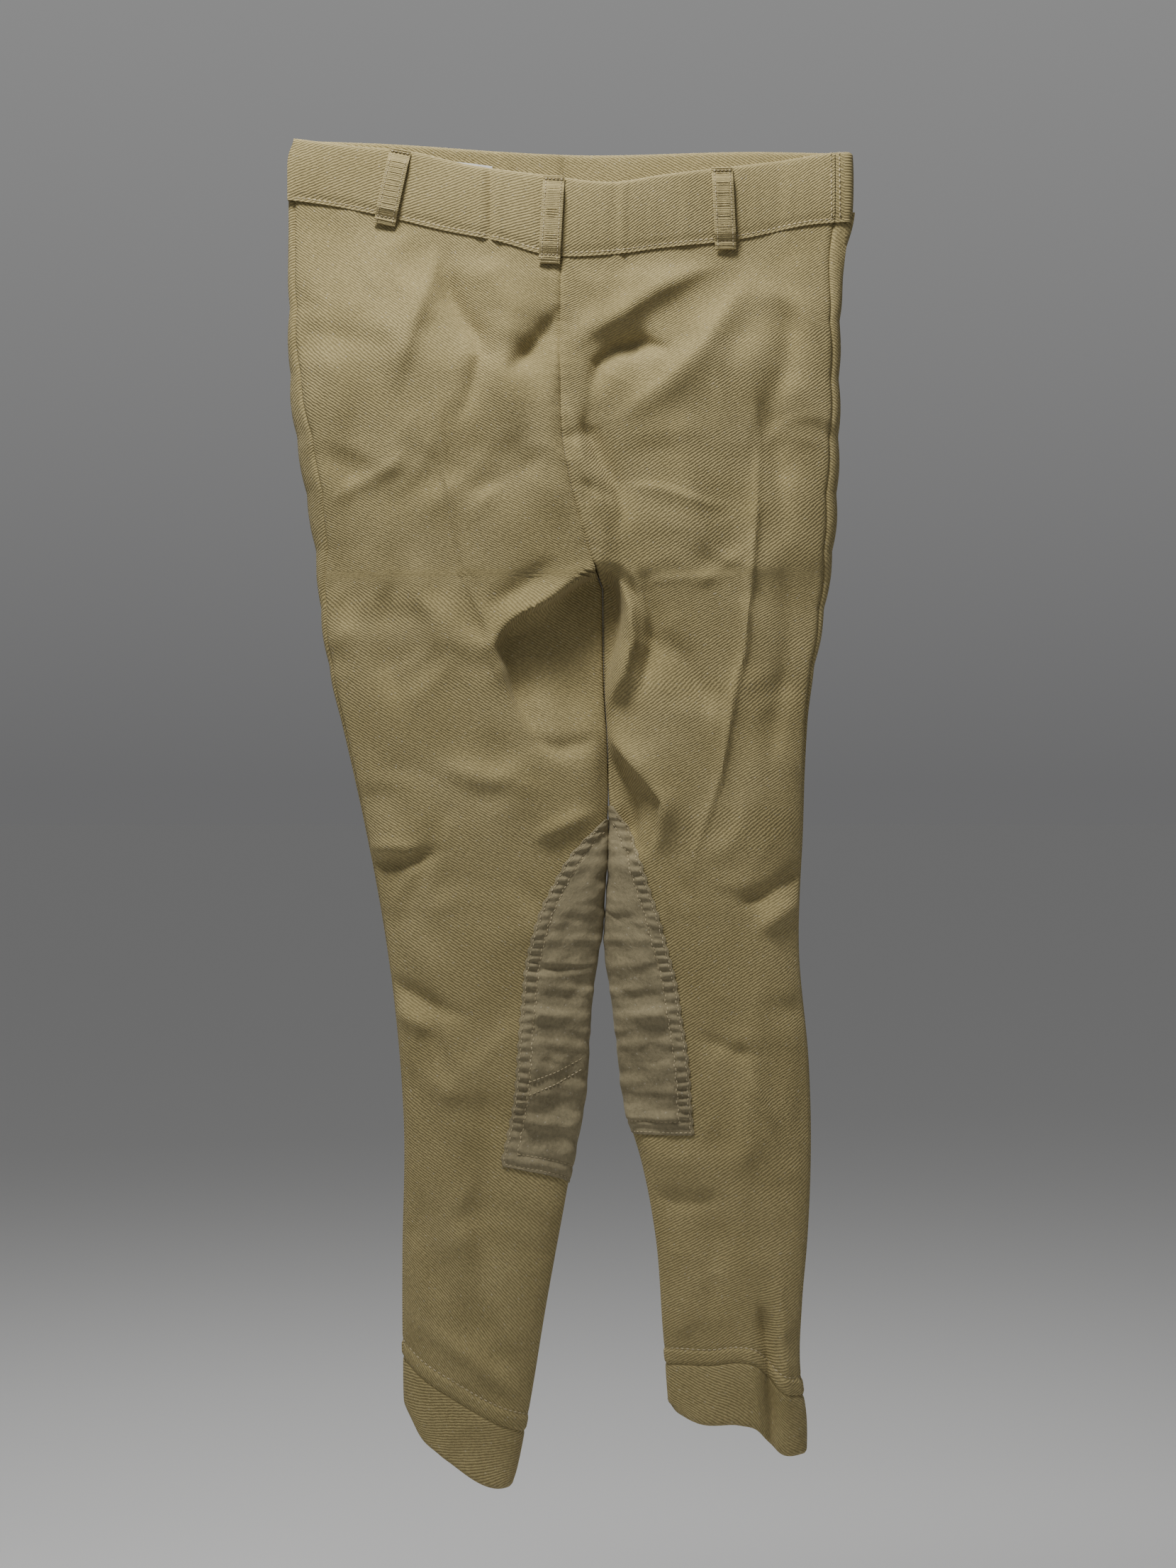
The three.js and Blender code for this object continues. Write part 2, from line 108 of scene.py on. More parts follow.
# ---- Cloth of the seat and legs ----
# Four cut panels of fine knit, a front and a back for each side, run from the band to the cuff.
# They are sewn at the middle, the inside leg and the outside leg, and hang nearly flat, with
# soft folds that run down from the band, gather at the crotch and break again at the knee.
MM = 0.001  # all sizes below are in mm; a drop is a distance down from the waist line
CLOTH = 1.1
BAND = 38
CROTCH = 222  # drop at which the two legs part
CUFF = 31
HEM_STITCH = 8.4  # hem topstitch above the cuff seam
WAIST_OPEN = 14  # how far the relaxed waist opens each way, at its middle
WAIST_FREE = 107  # from the middle to where each end is pressed flat
FOLD_DEPTH = 2.1  # deepens every fold in the lists below
FOLD_REACH = 4.5  # a fold dies out at this many times its softness

# the seam up the middle by drop, then each leg's outer and inner edges and its side seam
CENTRE_SEAM = [(0, -6), (58, -5.8), (89, -6.8), (109, -5.8), (145, -4.7), (176, 1), (194, 6), (208, 10),
               (222, 15.5)]
LEGS = {
    "right": {
        "side": -1,
        "outer": [(0, -144), (30, -143.6), (44, -143.8), (79, -144), (124, -143), (170, -136), (200, -131),
                  (239, -127), (268, -122), (297, -115), (342, -105), (390, -96), (433, -90), (489, -85.5),
                  (571, -86), (613, -86), (662, -85)],
        "inner": [(222, 15.4), (268, 16.1), (302, 17.9), (325, 18.3), (345, 17.7), (362, 17), (378, 15.7),
                  (397, 14.5),
                  (404, 13.2), (436, 9), (481, 6), (525, -3), (577, -14), (619, -22), (662, -31)],
        "seam": [(38, 0.13), (90, 0.15), (145, 0.2), (190, 0.16), (230, 0.09), (300, 0.05), (662, 0.05)],
        # the rim of the pocket under the crotch, by drop, and where it runs out
        "pocket": [(205, 22), (213, 15), (216, 9), (221, -1), (230, -14), (236, -26), (242, -34),
                   (251, -39), (265, -36),
                   (277, -33), (297, -22), (314, -8)],
        "pocket_foot": 312,
        "hem": 660,
        "slope": -0.55,
        # how the lower edge rises or hangs across the leg, and its rounded corner
        "lift": [(-87, 2), (-79, -2), (-60, -4.5), (-40, -5.5), (-24, -3)],
        "corner": [(-87, 9), (-82, 6), (-76, 1.5), (-68, 0), (-36, 0), (-30, 2.5)],
    },
    "left": {
        "side": 1,
        "outer": [(0, 143), (37, 143), (53, 139), (85, 136.5), (148, 135.5), (199, 133), (245, 126),
                  (276, 120.5),
                  (310, 118), (342, 117), (405, 115), (463, 120), (494, 121), (552, 119), (579, 116.5),
                  (608, 115.5),
                  (630, 118.5), (655, 119)],
        "inner": [(222, 15.44), (268, 16.14), (302, 17.94), (325, 18.36), (338, 19.1), (362, 18.9),
                  (380, 17.9), (397, 16.8),
                  (404, 17), (432, 20.8), (450, 23), (484, 27), (513, 35),
                  (552, 42), (605, 46), (655, 50)],
        "seam": [(38, 0.24), (90, 0.17), (145, 0.15), (190, 0.14), (230, 0.1), (300, 0.05), (662, 0.05)],
        "pocket": [(205, 14), (213, 19), (218, 23), (233, 27.5), (248, 26), (266, 21.5), (283, 17), (300, 15)],
        "pocket_foot": 290,
        "hem": 652,
        "slope": -0.17,
        "lift": [(44, 0), (52, 2), (70, 5), (85, 9), (94, 8), (98, 4.5), (103, -1), (118, -4)],
        "corner": [(47, 13), (51, 7), (56, 4), (64, 1), (72, 0), (112, 0), (119, 2)],
    },
}
# how far the seat and a leg stand open each way, by drop
SEAT_DEPTH = [(38, 20), (110, 21), (165, 20), (222, 17.5), (262, 16.5)]
LEG_DEPTH = [(150, 19), (222, 17), (300, 15.5), (400, 13), (500, 11.5), (600, 10), (662, 9.5)]
# where the front cloth turns under to the crotch, by place across
FRONT_LIP = [(-145, 275), (-60, 262), (-35, 246), (-12, 233), (2, 220), (12, 215), (18, 213), (25, 213),
             (31, 219),
             (38, 238), (60, 262), (143, 275)]
# height of the band's top and bottom edges across the front and the back
BAND_TOP = {
    "front": [(-143, 6.2), (-115, 2.8), (-81, -1), (-52, -9), (-15, -15.3), (22, -18.8), (45, -14.4),
              (91, -7.2),
              (110, -4.6), (130, -1.3), (143, -0.6)],
    "back": [(-143, 6.2), (-90, 4.4), (0, 2.2), (90, 0.6), (143, -0.6)],
}
BAND_FOOT = {
    "front": [(-143, -25), (-110, -30.5), (-88, -35.5), (-68, -41), (-32, -50), (-17, -55), (22, -55.3),
              (45, -51.5),
              (85, -45.5), (120, -38), (143, -36)],
    "back": [(-143, -25), (-90, -32), (0, -35), (90, -36.5), (143, -36)],
}


def smooth(start, end, value):
    """Eases from 0 at the start to 1 at the end."""
    share = np.clip((np.asarray(value, float) - start) / (end - start), 0, 1)
    return share * share * (3 - 2 * share)


def mix(a, b, share):
    """Between a and b."""
    return a + (b - a) * share


def along(stations, at):
    """A smooth value through a short list of (place, value) stations."""
    place, value = np.array(stations, float).T
    lean = np.gradient(value, place)
    at = np.asarray(at, float)
    i = np.clip(np.searchsorted(place, at) - 1, 0, len(place) - 2)
    span = place[i + 1] - place[i]
    t = np.clip((at - place[i]) / span, 0, 1)
    t2, t3 = t * t, t * t * t
    return ((2 * t3 - 3 * t2 + 1) * value[i] + (t3 - 2 * t2 + t) * span * lean[i]
            + (3 * t2 - 2 * t3) * value[i + 1] + (t3 - t2) * span * lean[i + 1])


# Each fold is a line in the hanging cloth, as (across, up) points, then how far it stands out
# and how softly it falls away to the left and to the right of the line's own direction.
FRONT_FOLDS = [
    # wearer's right: the soft folds of the hip, and the pressed crease
    ([(-68, -46), (-71, -64), (-77, -83), (-83, -100), (-90, -128)], 2.8, 7, 10),
    ([(-62, -44), (-65, -62), (-61, -77), (-49, -95), (-45, -106), (-52, -130), (-62, -146)], -2.8, 8, 6),
    ([(-46, -52), (-31, -84), (-34, -115), (-28, -140), (-32, -160)], 2.0, 12, 11),
    ([(-34, -120), (-28, -111), (-20, -102), (-9, -88), (-4, -78)], -3.2, 6, 9),
    ([(-6, -96), (-10, -118), (-12, -132), (-11, -154), (-2, -180), (7, -207)], 2.0, 6, 12),
    ([(-72, -88), (-71, -100), (-68, -130), (-64, -165), (-58, -195), (-51, -224), (-43, -242), (-39, -260),
      (-30, -280),
      (-20, -297), (-12, -308)], 1.2, 3.2, 1.5),
    ([(-124, -182), (-114, -174), (-102, -168), (-90, -162), (-80, -150)], 1.2, 5, 6),
    ([(-82, -208), (-93, -230), (-92, -262), (-84, -290)], -1.8, 8, 8),
    ([(-82, -196), (-76, -228), (-58, -248), (-50, -262)], 1.5, 8, 9),
    ([(-104, -110), (-110, -150), (-112, -220), (-104, -262)], -1.5, 10, 10),
    ([(-128, -60), (-124, -110), (-126, -160), (-118, -220)], 1.5, 10, 9),
    ([(-56, -176), (-44, -172), (-26, -166), (-8, -150)], -1.2, 8, 8),
    # the lip of cloth over the crotch
    ([(-46, -262), (-41, -252), (-34, -245), (-25, -239), (-13, -232), (-1, -223), (8, -216), (14, -213),
      (20, -212)],
     2.4, 11, 3),
    ([(-44, -236), (-34, -228), (-18, -216), (-4, -206)], -1.4, 8, 7),
    ([(-26, -296), (-18, -300), (-6, -303), (6, -300), (13, -294)], -1.6, 5, 6),
    ([(-22, -350), (-15, -347), (9, -336), (14, -333)], 1.8, 6, 6),
    ([(-72, -310), (-62, -314), (-18, -323), (-6, -324)], 1.4, 9, 9),
    ([(-108, -352), (-100, -353), (-84, -354), (-74, -352)], 1.8, 5, 5),
    ([(-112, -363), (-100, -361), (-81, -359), (-60, -352)], -1.9, 4, 6),
    ([(-100, -414), (-90, -421), (-65, -435), (-46, -440)], -1.7, 6, 6),
    ([(-98, -432), (-90, -436), (-74, -443), (-66, -448)], 1.8, 6, 6),
    ([(-66, -400), (-62, -450), (-56, -560), (-54, -600)], 1.6, 12, 10),
    ([(-42, -450), (-44, -500), (-46, -600)], -1.2, 9, 9),
    ([(-78, -520), (-72, -560), (-64, -590)], -1.0, 8, 8),
    ([(-86, -588), (-76, -594), (-52, -610), (-22, -634)], 1.2, 6, 6),
    # wearer's left: long slanting ridges with hollows between, then the pressed crease
    ([(-4, -112), (2, -103), (10, -95), (25, -86), (42, -74), (62, -64), (80, -58)], 3.2, 10, 7),
    ([(6, -132), (10, -122), (13, -111), (22, -102), (34, -99), (46, -103), (52, -112)], -3.6, 5, 9),
    ([(18, -150), (21, -142), (31, -133), (48, -121), (66, -103), (78, -83), (87, -70), (94, -58)], 3.0, 9, 13),
    ([(11, -118), (8, -132), (7, -142), (14, -159), (22, -171), (25, -184), (23, -200)], -2.4, 9, 3.5),
    ([(-4, -120), (1, -140), (5, -159), (13, -177), (17, -192), (22, -206)], 1.6, 4, 4),
    ([(-6, -149), (0, -147), (7, -145), (12, -142)], -0.9, 4, 5),
    ([(2, -170), (9, -172), (15, -175), (21, -180)], -0.9, 4, 5),
    ([(22, -170), (45, -173), (66, -180), (84, -182)], 0.7, 2, 5),
    ([(30, -222), (45, -218), (70, -217), (92, -214)], 0.7, 2, 5),
    ([(58, -124), (56, -150), (63, -196), (58, -224)], 1.4, 12, 12),
    ([(102, -50), (110, -84), (107, -112), (99, -132), (104, -168), (110, -210)], -2.2, 9, 10),
    ([(88, -96), (90, -108), (94, -148), (93, -183), (90, -218), (87, -254), (81, -278), (75, -316),
      (62, -356), (60, -380),
      (62, -404)], 1.2, 1.6, 3.2),
    ([(106, -200), (110, -248), (102, -292), (96, -330)], -1.8, 9, 9),
    ([(40, -226), (43, -246), (56, -258), (66, -276), (68, -300)], -1.8, 8, 8),
    # the roll at the left leg's top, and the edge that hangs over its inner strip
    ([(17, -210), (24, -217), (29.5, -233), (30, -249), (25.5, -266), (19, -280), (14, -292)], 3.4, 4.5, 4.5),
    ([(26, -206), (36, -220), (40, -236), (40, -252), (35, -270), (27, -284)], -2.2, 7, 4),
    ([(12, -289), (20, -299), (29, -311), (37, -320), (45, -330), (44, -346), (38, -362)], 3.8, 12, 2.2),
    ([(14, -294), (22, -312), (31, -331), (32, -352), (26, -368)], -5.0, 4, 8),
    ([(124, -360), (115, -366), (96, -377), (78, -384)], -1.8, 6, 6),
    ([(122, -378), (114, -381), (98, -392), (90, -398)], 1.8, 6, 6),
    ([(60, -446), (73, -452), (84, -456), (98, -458)], -1.2, 5, 5),
    ([(87, -463), (90, -469), (101, -492), (104, -498)], 1.2, 2.6, 4),
    ([(36, -526), (50, -531), (64, -532), (80, -528)], -1.2, 7, 6),
    ([(96, -400), (92, -450), (84, -540), (88, -580)], 1.4, 10, 10),
    ([(68, -520), (72, -560), (70, -596)], -1.2, 8, 8),
    ([(93, -568), (95, -581), (99, -607), (100, -640), (101, -680)], -2.4, 5, 4),
    ([(104, -560), (107, -600), (110, -650)], 1.2, 5, 6),
]
BACK_FOLDS = [
    ([(-96, -30), (-88, -70), (-70, -120), (-52, -170)], 3.0, 12, 10),
    ([(-60, -30), (-58, -64), (-44, -104)], -2.6, 9, 9),
    ([(-112, -60), (-108, -120), (-112, -190)], -2.0, 9, 9),
    ([(-30, -34), (-26, -80), (-8, -130)], 2.2, 9, 9),
    ([(96, -30), (84, -76), (60, -130), (40, -168)], 3.2, 10, 12),
    ([(56, -30), (60, -70), (40, -116)], -2.8, 9, 9),
    ([(112, -70), (110, -130), (112, -190)], -1.8, 8, 8),
    ([(22, -40), (26, -90), (10, -140)], 2.0, 8, 9),
    ([(-50, -190), (-30, -200), (0, -208), (16, -214)], -3.2, 8, 7),
    ([(-60, -214), (-36, -222), (-8, -232)], 3.0, 7, 8),
    ([(84, -190), (60, -200), (34, -206), (18, -212)], -3.0, 7, 8),
    ([(88, -216), (62, -226), (36, -236)], 2.8, 8, 7),
    ([(-46, -246), (-26, -256), (0, -262)], -2.2, 6, 6),
    ([(74, -248), (52, -258), (30, -264)], -2.2, 6, 6),
    ([(-70, -90), (-68, -180), (-60, -260), (-50, -330), (-44, -380)], 1.3, 2.4, 2.4),
    ([(82, -100), (84, -190), (78, -260), (72, -330), (66, -380)], 1.3, 2.4, 2.4),
    ([(-100, -300), (-80, -312), (-56, -316)], -2.0, 7, 7),
    ([(-96, -372), (-80, -380), (-58, -382)], -2.6, 5, 6),
    ([(-94, -386), (-78, -394), (-56, -396)], 2.0, 6, 6),
    ([(-30, -360), (-16, -372), (6, -378)], -1.8, 5, 5),
    ([(112, -300), (96, -314), (70, -318)], -2.0, 7, 7),
    ([(112, -378), (98, -388), (76, -390)], -2.6, 5, 6),
    ([(112, -394), (96, -402), (74, -404)], 2.0, 6, 6),
    ([(-64, -410), (-56, -480), (-54, -580)], 1.6, 10, 10),
    ([(-36, -440), (-40, -520), (-44, -600)], -1.3, 8, 8),
    ([(92, -420), (88, -490), (84, -590)], 1.6, 10, 10),
    ([(64, -450), (68, -520), (72, -590)], -1.3, 8, 8),
    ([(-84, -596), (-60, -604), (-34, -626)], 1.2, 6, 6),
    ([(112, -590), (92, -600), (64, -602)], 1.2, 6, 6),
]


def fold_height(folds, x, z):
    """How far the folds push the cloth out at each point."""
    total = np.zeros_like(x)
    for line, rise, soft_left, soft_right in folds:
        line = np.array(line, float)
        steps = np.diff(line, axis=0)
        lengths = np.hypot(steps[:, 0], steps[:, 1])
        reach = FOLD_REACH * max(soft_left, soft_right)
        low, high = line.min(0) - reach, line.max(0) + reach
        near = np.nonzero((x > low[0]) & (x < high[0]) & (z > low[1]) & (z < high[1]))
        if not len(near[0]):
            continue
        px, pz = x[near], z[near]
        best = np.full(px.shape, 1e9)
        at = np.zeros(px.shape)
        left = np.zeros(px.shape, bool)
        begun = 0.0
        for start, step, length in zip(line[:-1], steps, lengths):
            t = np.clip(((px - start[0]) * step[0] + (pz - start[1]) * step[1]) / length**2, 0, 1)
            dx, dz = px - start[0] - t * step[0], pz - start[1] - t * step[1]
            far = np.hypot(dx, dz)
            closer = far < best
            best = np.where(closer, far, best)
            at = np.where(closer, begun + t * length, at)
            left = np.where(closer, step[0] * dz - step[1] * dx > 0, left)
            begun += length
        share = at / begun
        width = np.where(left, soft_left, soft_right)
        taper = smooth(0, 0.4, share) * smooth(1, 0.6, share)
        width = width * (0.55 + 0.45 * taper)
        crest = (1 + (best / width) ** 2) ** -1.6 - (1 + FOLD_REACH**2) ** -1.6
        total[near] += rise * taper * np.maximum(crest, 0)
    return total


def waves(x, z, seed, shortest, longest, count):
    """An even, fixed unevenness from crossing waves, about 1 mm high."""
    made = np.random.default_rng(seed)
    total = np.zeros_like(x)
    for wave in made.uniform(shortest, longest, count):
        turn, phase = made.uniform(0, math.pi), made.uniform(0, 2 * math.pi)
        total += wave / longest * np.sin(2 * math.pi * (x * math.cos(turn) + z * math.sin(turn)) / wave + phase)
    return total / math.sqrt(count / 2)


def crumple(x, z, seed):
    """Soft rumples all over the cloth, with sharper creases wandering through them."""
    wander_x, wander_z = 9 * waves(x, z, seed + 1, 40, 90, 9), 9 * waves(x, z, seed + 2, 40, 90, 9)
    soft = waves(x + wander_x, z + wander_z, seed + 3, 24, 75, 14)
    creases = np.zeros_like(x)
    for k, (spread, turn) in enumerate([(31, 0.5), (26, -0.62), (43, 1.35)]):
        lean = (x + wander_x * 1.4) * math.cos(turn) + (z + wander_z * 1.4) * math.sin(turn)
        here = smooth(-0.1, 0.9, waves(x, z, seed + 10 + k, 50, 120, 8))
        creases += here * (1 - np.sqrt(np.sin(math.pi * lean / spread) ** 2 + 0.02))
    return 0.85 * soft + creases


def bulge(x):
    """1 at the middle of the waist and 0 where each end is pressed flat."""
    return (np.cos(math.pi * np.clip(np.abs(x) / WAIST_FREE, 0, 1)) + 1) / 2


def cloth(leg, u, drop):
    """A point of the outer cloth. u is 0 at the side tip, 1 at the front's inner edge and -1 at the back's."""
    side, away = leg["side"], np.abs(u)
    # the side seam is a little too long for the cloth, and waves between hip and thigh
    wavy = (np.abs(np.sin(math.pi * drop / 29)) - 0.6) * smooth(60, 90, drop) * smooth(300, 240, drop)
    outer = along(leg["outer"], drop) + side * 1.1 * wavy
    seam = along(CENTRE_SEAM, drop) + side * 0.02
    inner = np.where(drop < CROTCH, seam, along(leg["inner"], drop))
    across = outer - inner
    seat_x = inner + across * np.cos(away * math.pi / 2)
    middle = (inner + outer) / 2
    leg_x = middle + across / 2 * np.cos(away * math.pi)
    x = mix(seat_x, leg_x, smooth(105, CROTCH, drop))
    near_tip = np.clip((x - inner) / across, 0, 1)
    pinched = 3.3 * (1 - near_tip**14) ** 0.5 + WAIST_OPEN * bulge(x)
    opened = along(SEAT_DEPTH, drop) * (1 - near_tip**2.3) ** 0.46
    seat_y = mix(pinched, opened, smooth(BAND + 2, 115, drop))
    off_middle = np.clip(np.abs(x - middle) / np.abs(across / 2), 0, 1)
    leg_y = along(LEG_DEPTH, drop) * (1 - off_middle**2.6) ** 0.46
    lip = along(FRONT_LIP, x)
    soft = 6 + 60 * smooth(26, 90, np.abs(x - 16))
    parted = np.where(u > 0, smooth(lip - soft / 2, lip + soft, drop), smooth(130, CROTCH, drop))
    # the front falls away to the inside leg in a deep pocket under the lip
    rim = along(leg["pocket"], drop)
    pocket = smooth(rim, rim - side * 5.5, x) * smooth(210, 219, drop) * smooth(leg["pocket_foot"], 268, drop)
    depth = mix(seat_y, leg_y, parted)
    depth = depth * np.where(u > 0, 1 - pocket * (0.62 + 0.26 * smooth(-20, 12, x)), 1.0) + 0.15
    slope = leg["slope"] * smooth(481, 640, drop)
    sink = smooth(BAND + 110, BAND, drop)
    foot = np.where(u > 0, along(BAND_FOOT["front"], x), along(BAND_FOOT["back"], x))
    z = -drop + slope * (x - middle) + (foot + BAND) * sink
    z = z + along(leg["lift"], x) * smooth(560, 625, drop)
    z = z + along(leg["corner"], x) * smooth(leg["hem"] - 16, leg["hem"], drop) ** 2
    # the band and the side tips hold the folds back
    below_band = smooth(BAND, BAND + 16, drop)
    hold = smooth(0, 7, depth) * below_band
    out = np.where(u > 0, fold_height(FRONT_FOLDS, x, z), fold_height(BACK_FOLDS, x, z)) * hold * FOLD_DEPTH
    out += np.where(u > 0, crumple(x, z, 4), crumple(x, z, 9)) * smooth(0, 9, depth) * below_band
    pulled = np.exp(-np.abs(x - inner) / 5) * np.sin(drop / 1.25) * 0.12 * smooth(CROTCH, CROTCH - 10, drop)
    depth = np.maximum(depth + out + pulled * hold, 0.16 * depth + 0.1)
    return np.stack([x, -np.sign(u) * depth, z], -1)


def facing(points):
    """Unit normals of a grid of cloth points whose rows run down."""
    normal = np.cross(np.gradient(points, axis=1), np.gradient(points, axis=0))
    return normal / np.maximum(np.linalg.norm(normal, axis=-1, keepdims=True), 1e-9)


def walk_along(row):
    """Distance from a row's start to each of its points."""
    return np.concatenate([[0], np.cumsum(np.linalg.norm(np.diff(row, axis=0), axis=1))])


def spaced(row, where, length):
    """Points at the given distances along a row."""
    return np.stack([np.interp(where, length, row[:, k]) for k in range(3)], -1)


def turned_from(middle, points, normal):
    """The normals, all turned to face away from the leg's own middle line."""
    return normal * np.sign(((points - middle) * normal * np.array([1, 1, 0])).sum())


def grid_faces(rows, columns, start=0, around=False, flip=False):
    """Four-cornered faces over a grid of points."""
    r, c = np.meshgrid(np.arange(rows - 1), np.arange(columns if around else columns - 1), indexing="ij")
    near, far = start + r * columns + c, start + r * columns + (c + 1) % columns
    quads = np.stack([near, far, far + columns, near + columns], -1).reshape(-1, 4)
    return quads[:, ::-1] if flip else quads


def make_piece(name, points, quads, material, uv):
    """A plain mesh object from points in mm, with its flat map in decimetres."""
    mesh = bpy.data.meshes.new(name)
    mesh.from_pydata((np.asarray(points, float) * MM).tolist(), [], np.asarray(quads).tolist())
    layer = mesh.uv_layers.new(name="cloth")
    corner = np.zeros(len(mesh.loops), np.int32)
    mesh.loops.foreach_get("vertex_index", corner)
    layer.data.foreach_set("uv", np.asarray(uv, np.float32)[corner].ravel())
    mesh.polygons.foreach_set("use_smooth", np.ones(len(mesh.polygons), bool))
    mesh.set_sharp_from_angle(angle=math.radians(58))
    mesh.materials.append(material)
    piece = bpy.data.objects.new(name, mesh)
    bpy.context.scene.collection.objects.link(piece)
    return piece


def cloth_piece(name, outer, thick, material, uv, around=False):
    """A sheet with its thickness from a grid of outer points; around closes each row on itself."""
    rows, columns = outer.shape[:2]
    if around:
        wrapped = np.concatenate([outer[:, -1:], outer, outer[:, :1]], axis=1)
        normal = facing(wrapped)[:, 1:-1]
    else:
        normal = facing(outer)
    middle = outer.mean(axis=1, keepdims=True) * np.array([1, 0, 1])
    outward = np.sign(((outer - middle) * normal * np.array([0.2, 1, 0])).sum()) or 1.0
    inner = outer - outward * thick * normal
    count = rows * columns
    points = np.concatenate([outer.reshape(-1, 3), inner.reshape(-1, 3)])
    quads = [grid_faces(rows, columns, 0, around), grid_faces(rows, columns, count, around, flip=True)]
    c = np.arange(columns if around else columns - 1)
    d = (c + 1) % columns
    last = (rows - 1) * columns
    quads.append(np.stack([d, c, c + count, d + count], -1))
    quads.append(np.stack([last + c, last + d, last + d + count, last + c + count], -1))
    if not around:
        r = np.arange(rows - 1) * columns
        quads.append(np.stack([r, r + columns, r + columns + count, r + count], -1))
        e = r + columns - 1
        quads.append(np.stack([e + columns, e, e + count, e + columns + count], -1))
    quads = np.concatenate(quads)
    if outward > 0:
        quads = quads[:, ::-1]
    flat_uv = np.asarray(uv).reshape(-1, 2)
    return make_piece(name, points, quads, material, np.concatenate([flat_uv, flat_uv]))


# The knit: fine slanting ribs about a millimetre apart, with painted shade in their grooves, a little fuzz,
# and the slow patches of lighter and darker tan that washing and wear leave.
def new_finish(name, roughness, fuzz, fuzz_colour):
    material = bpy.data.materials.new(name)
    material.use_nodes = True
    shader = material.node_tree.nodes["Principled BSDF"]
    shader.inputs["Roughness"].default_value = roughness
    shader.inputs["Specular IOR Level"].default_value = 0.2
    shader.inputs["Sheen Weight"].default_value = fuzz
    shader.inputs["Sheen Roughness"].default_value = 0.5
    shader.inputs["Sheen Tint"].default_value = (*fuzz_colour, 1)
    return material, shader


def node(material, kind, **settings):
    made = material.node_tree.nodes.new(kind)
    for key, value in settings.items():
        setattr(made, key, value)
    return made


def link(material, a, b):
    material.node_tree.links.new(a, b)


def noise(material, place, scale, detail=3.0, rough=0.55):
    made = node(material, "ShaderNodeTexNoise")
    made.inputs["Scale"].default_value = scale
    made.inputs["Detail"].default_value = detail
    made.inputs["Roughness"].default_value = rough
    link(material, place, made.inputs["Vector"])
    return made.outputs["Fac"]


def ramp(material, value, stops):
    made = node(material, "ShaderNodeValToRGB")
    link(material, value, made.inputs["Fac"])
    while len(made.color_ramp.elements) < len(stops):
        made.color_ramp.elements.new(0.5)
    for element, (at, colour) in zip(made.color_ramp.elements, stops):
        element.position = at
        element.color = (*colour, 1)
    return made.outputs["Color"]


def maths(material, operation, a, b):
    made = node(material, "ShaderNodeMath", operation=operation)
    for socket, value in zip(made.inputs, (a, b)):
        if hasattr(value, "default_value"):
            link(material, value, socket)
        else:
            socket.default_value = value
    return made.outputs["Value"]


def tinted(material, base, over, share, blend="MIX"):
    made = node(material, "ShaderNodeMix", data_type="RGBA", blend_type=blend)
    factor, a, b = made.inputs[0], made.inputs[6], made.inputs[7]
    for socket, value in ((factor, share), (a, base), (b, over)):
        if hasattr(value, "default_value"):
            link(material, value, socket)
        elif isinstance(value, tuple):
            socket.default_value = (*value, 1)
        else:
            socket.default_value = value
    return made.outputs[2]


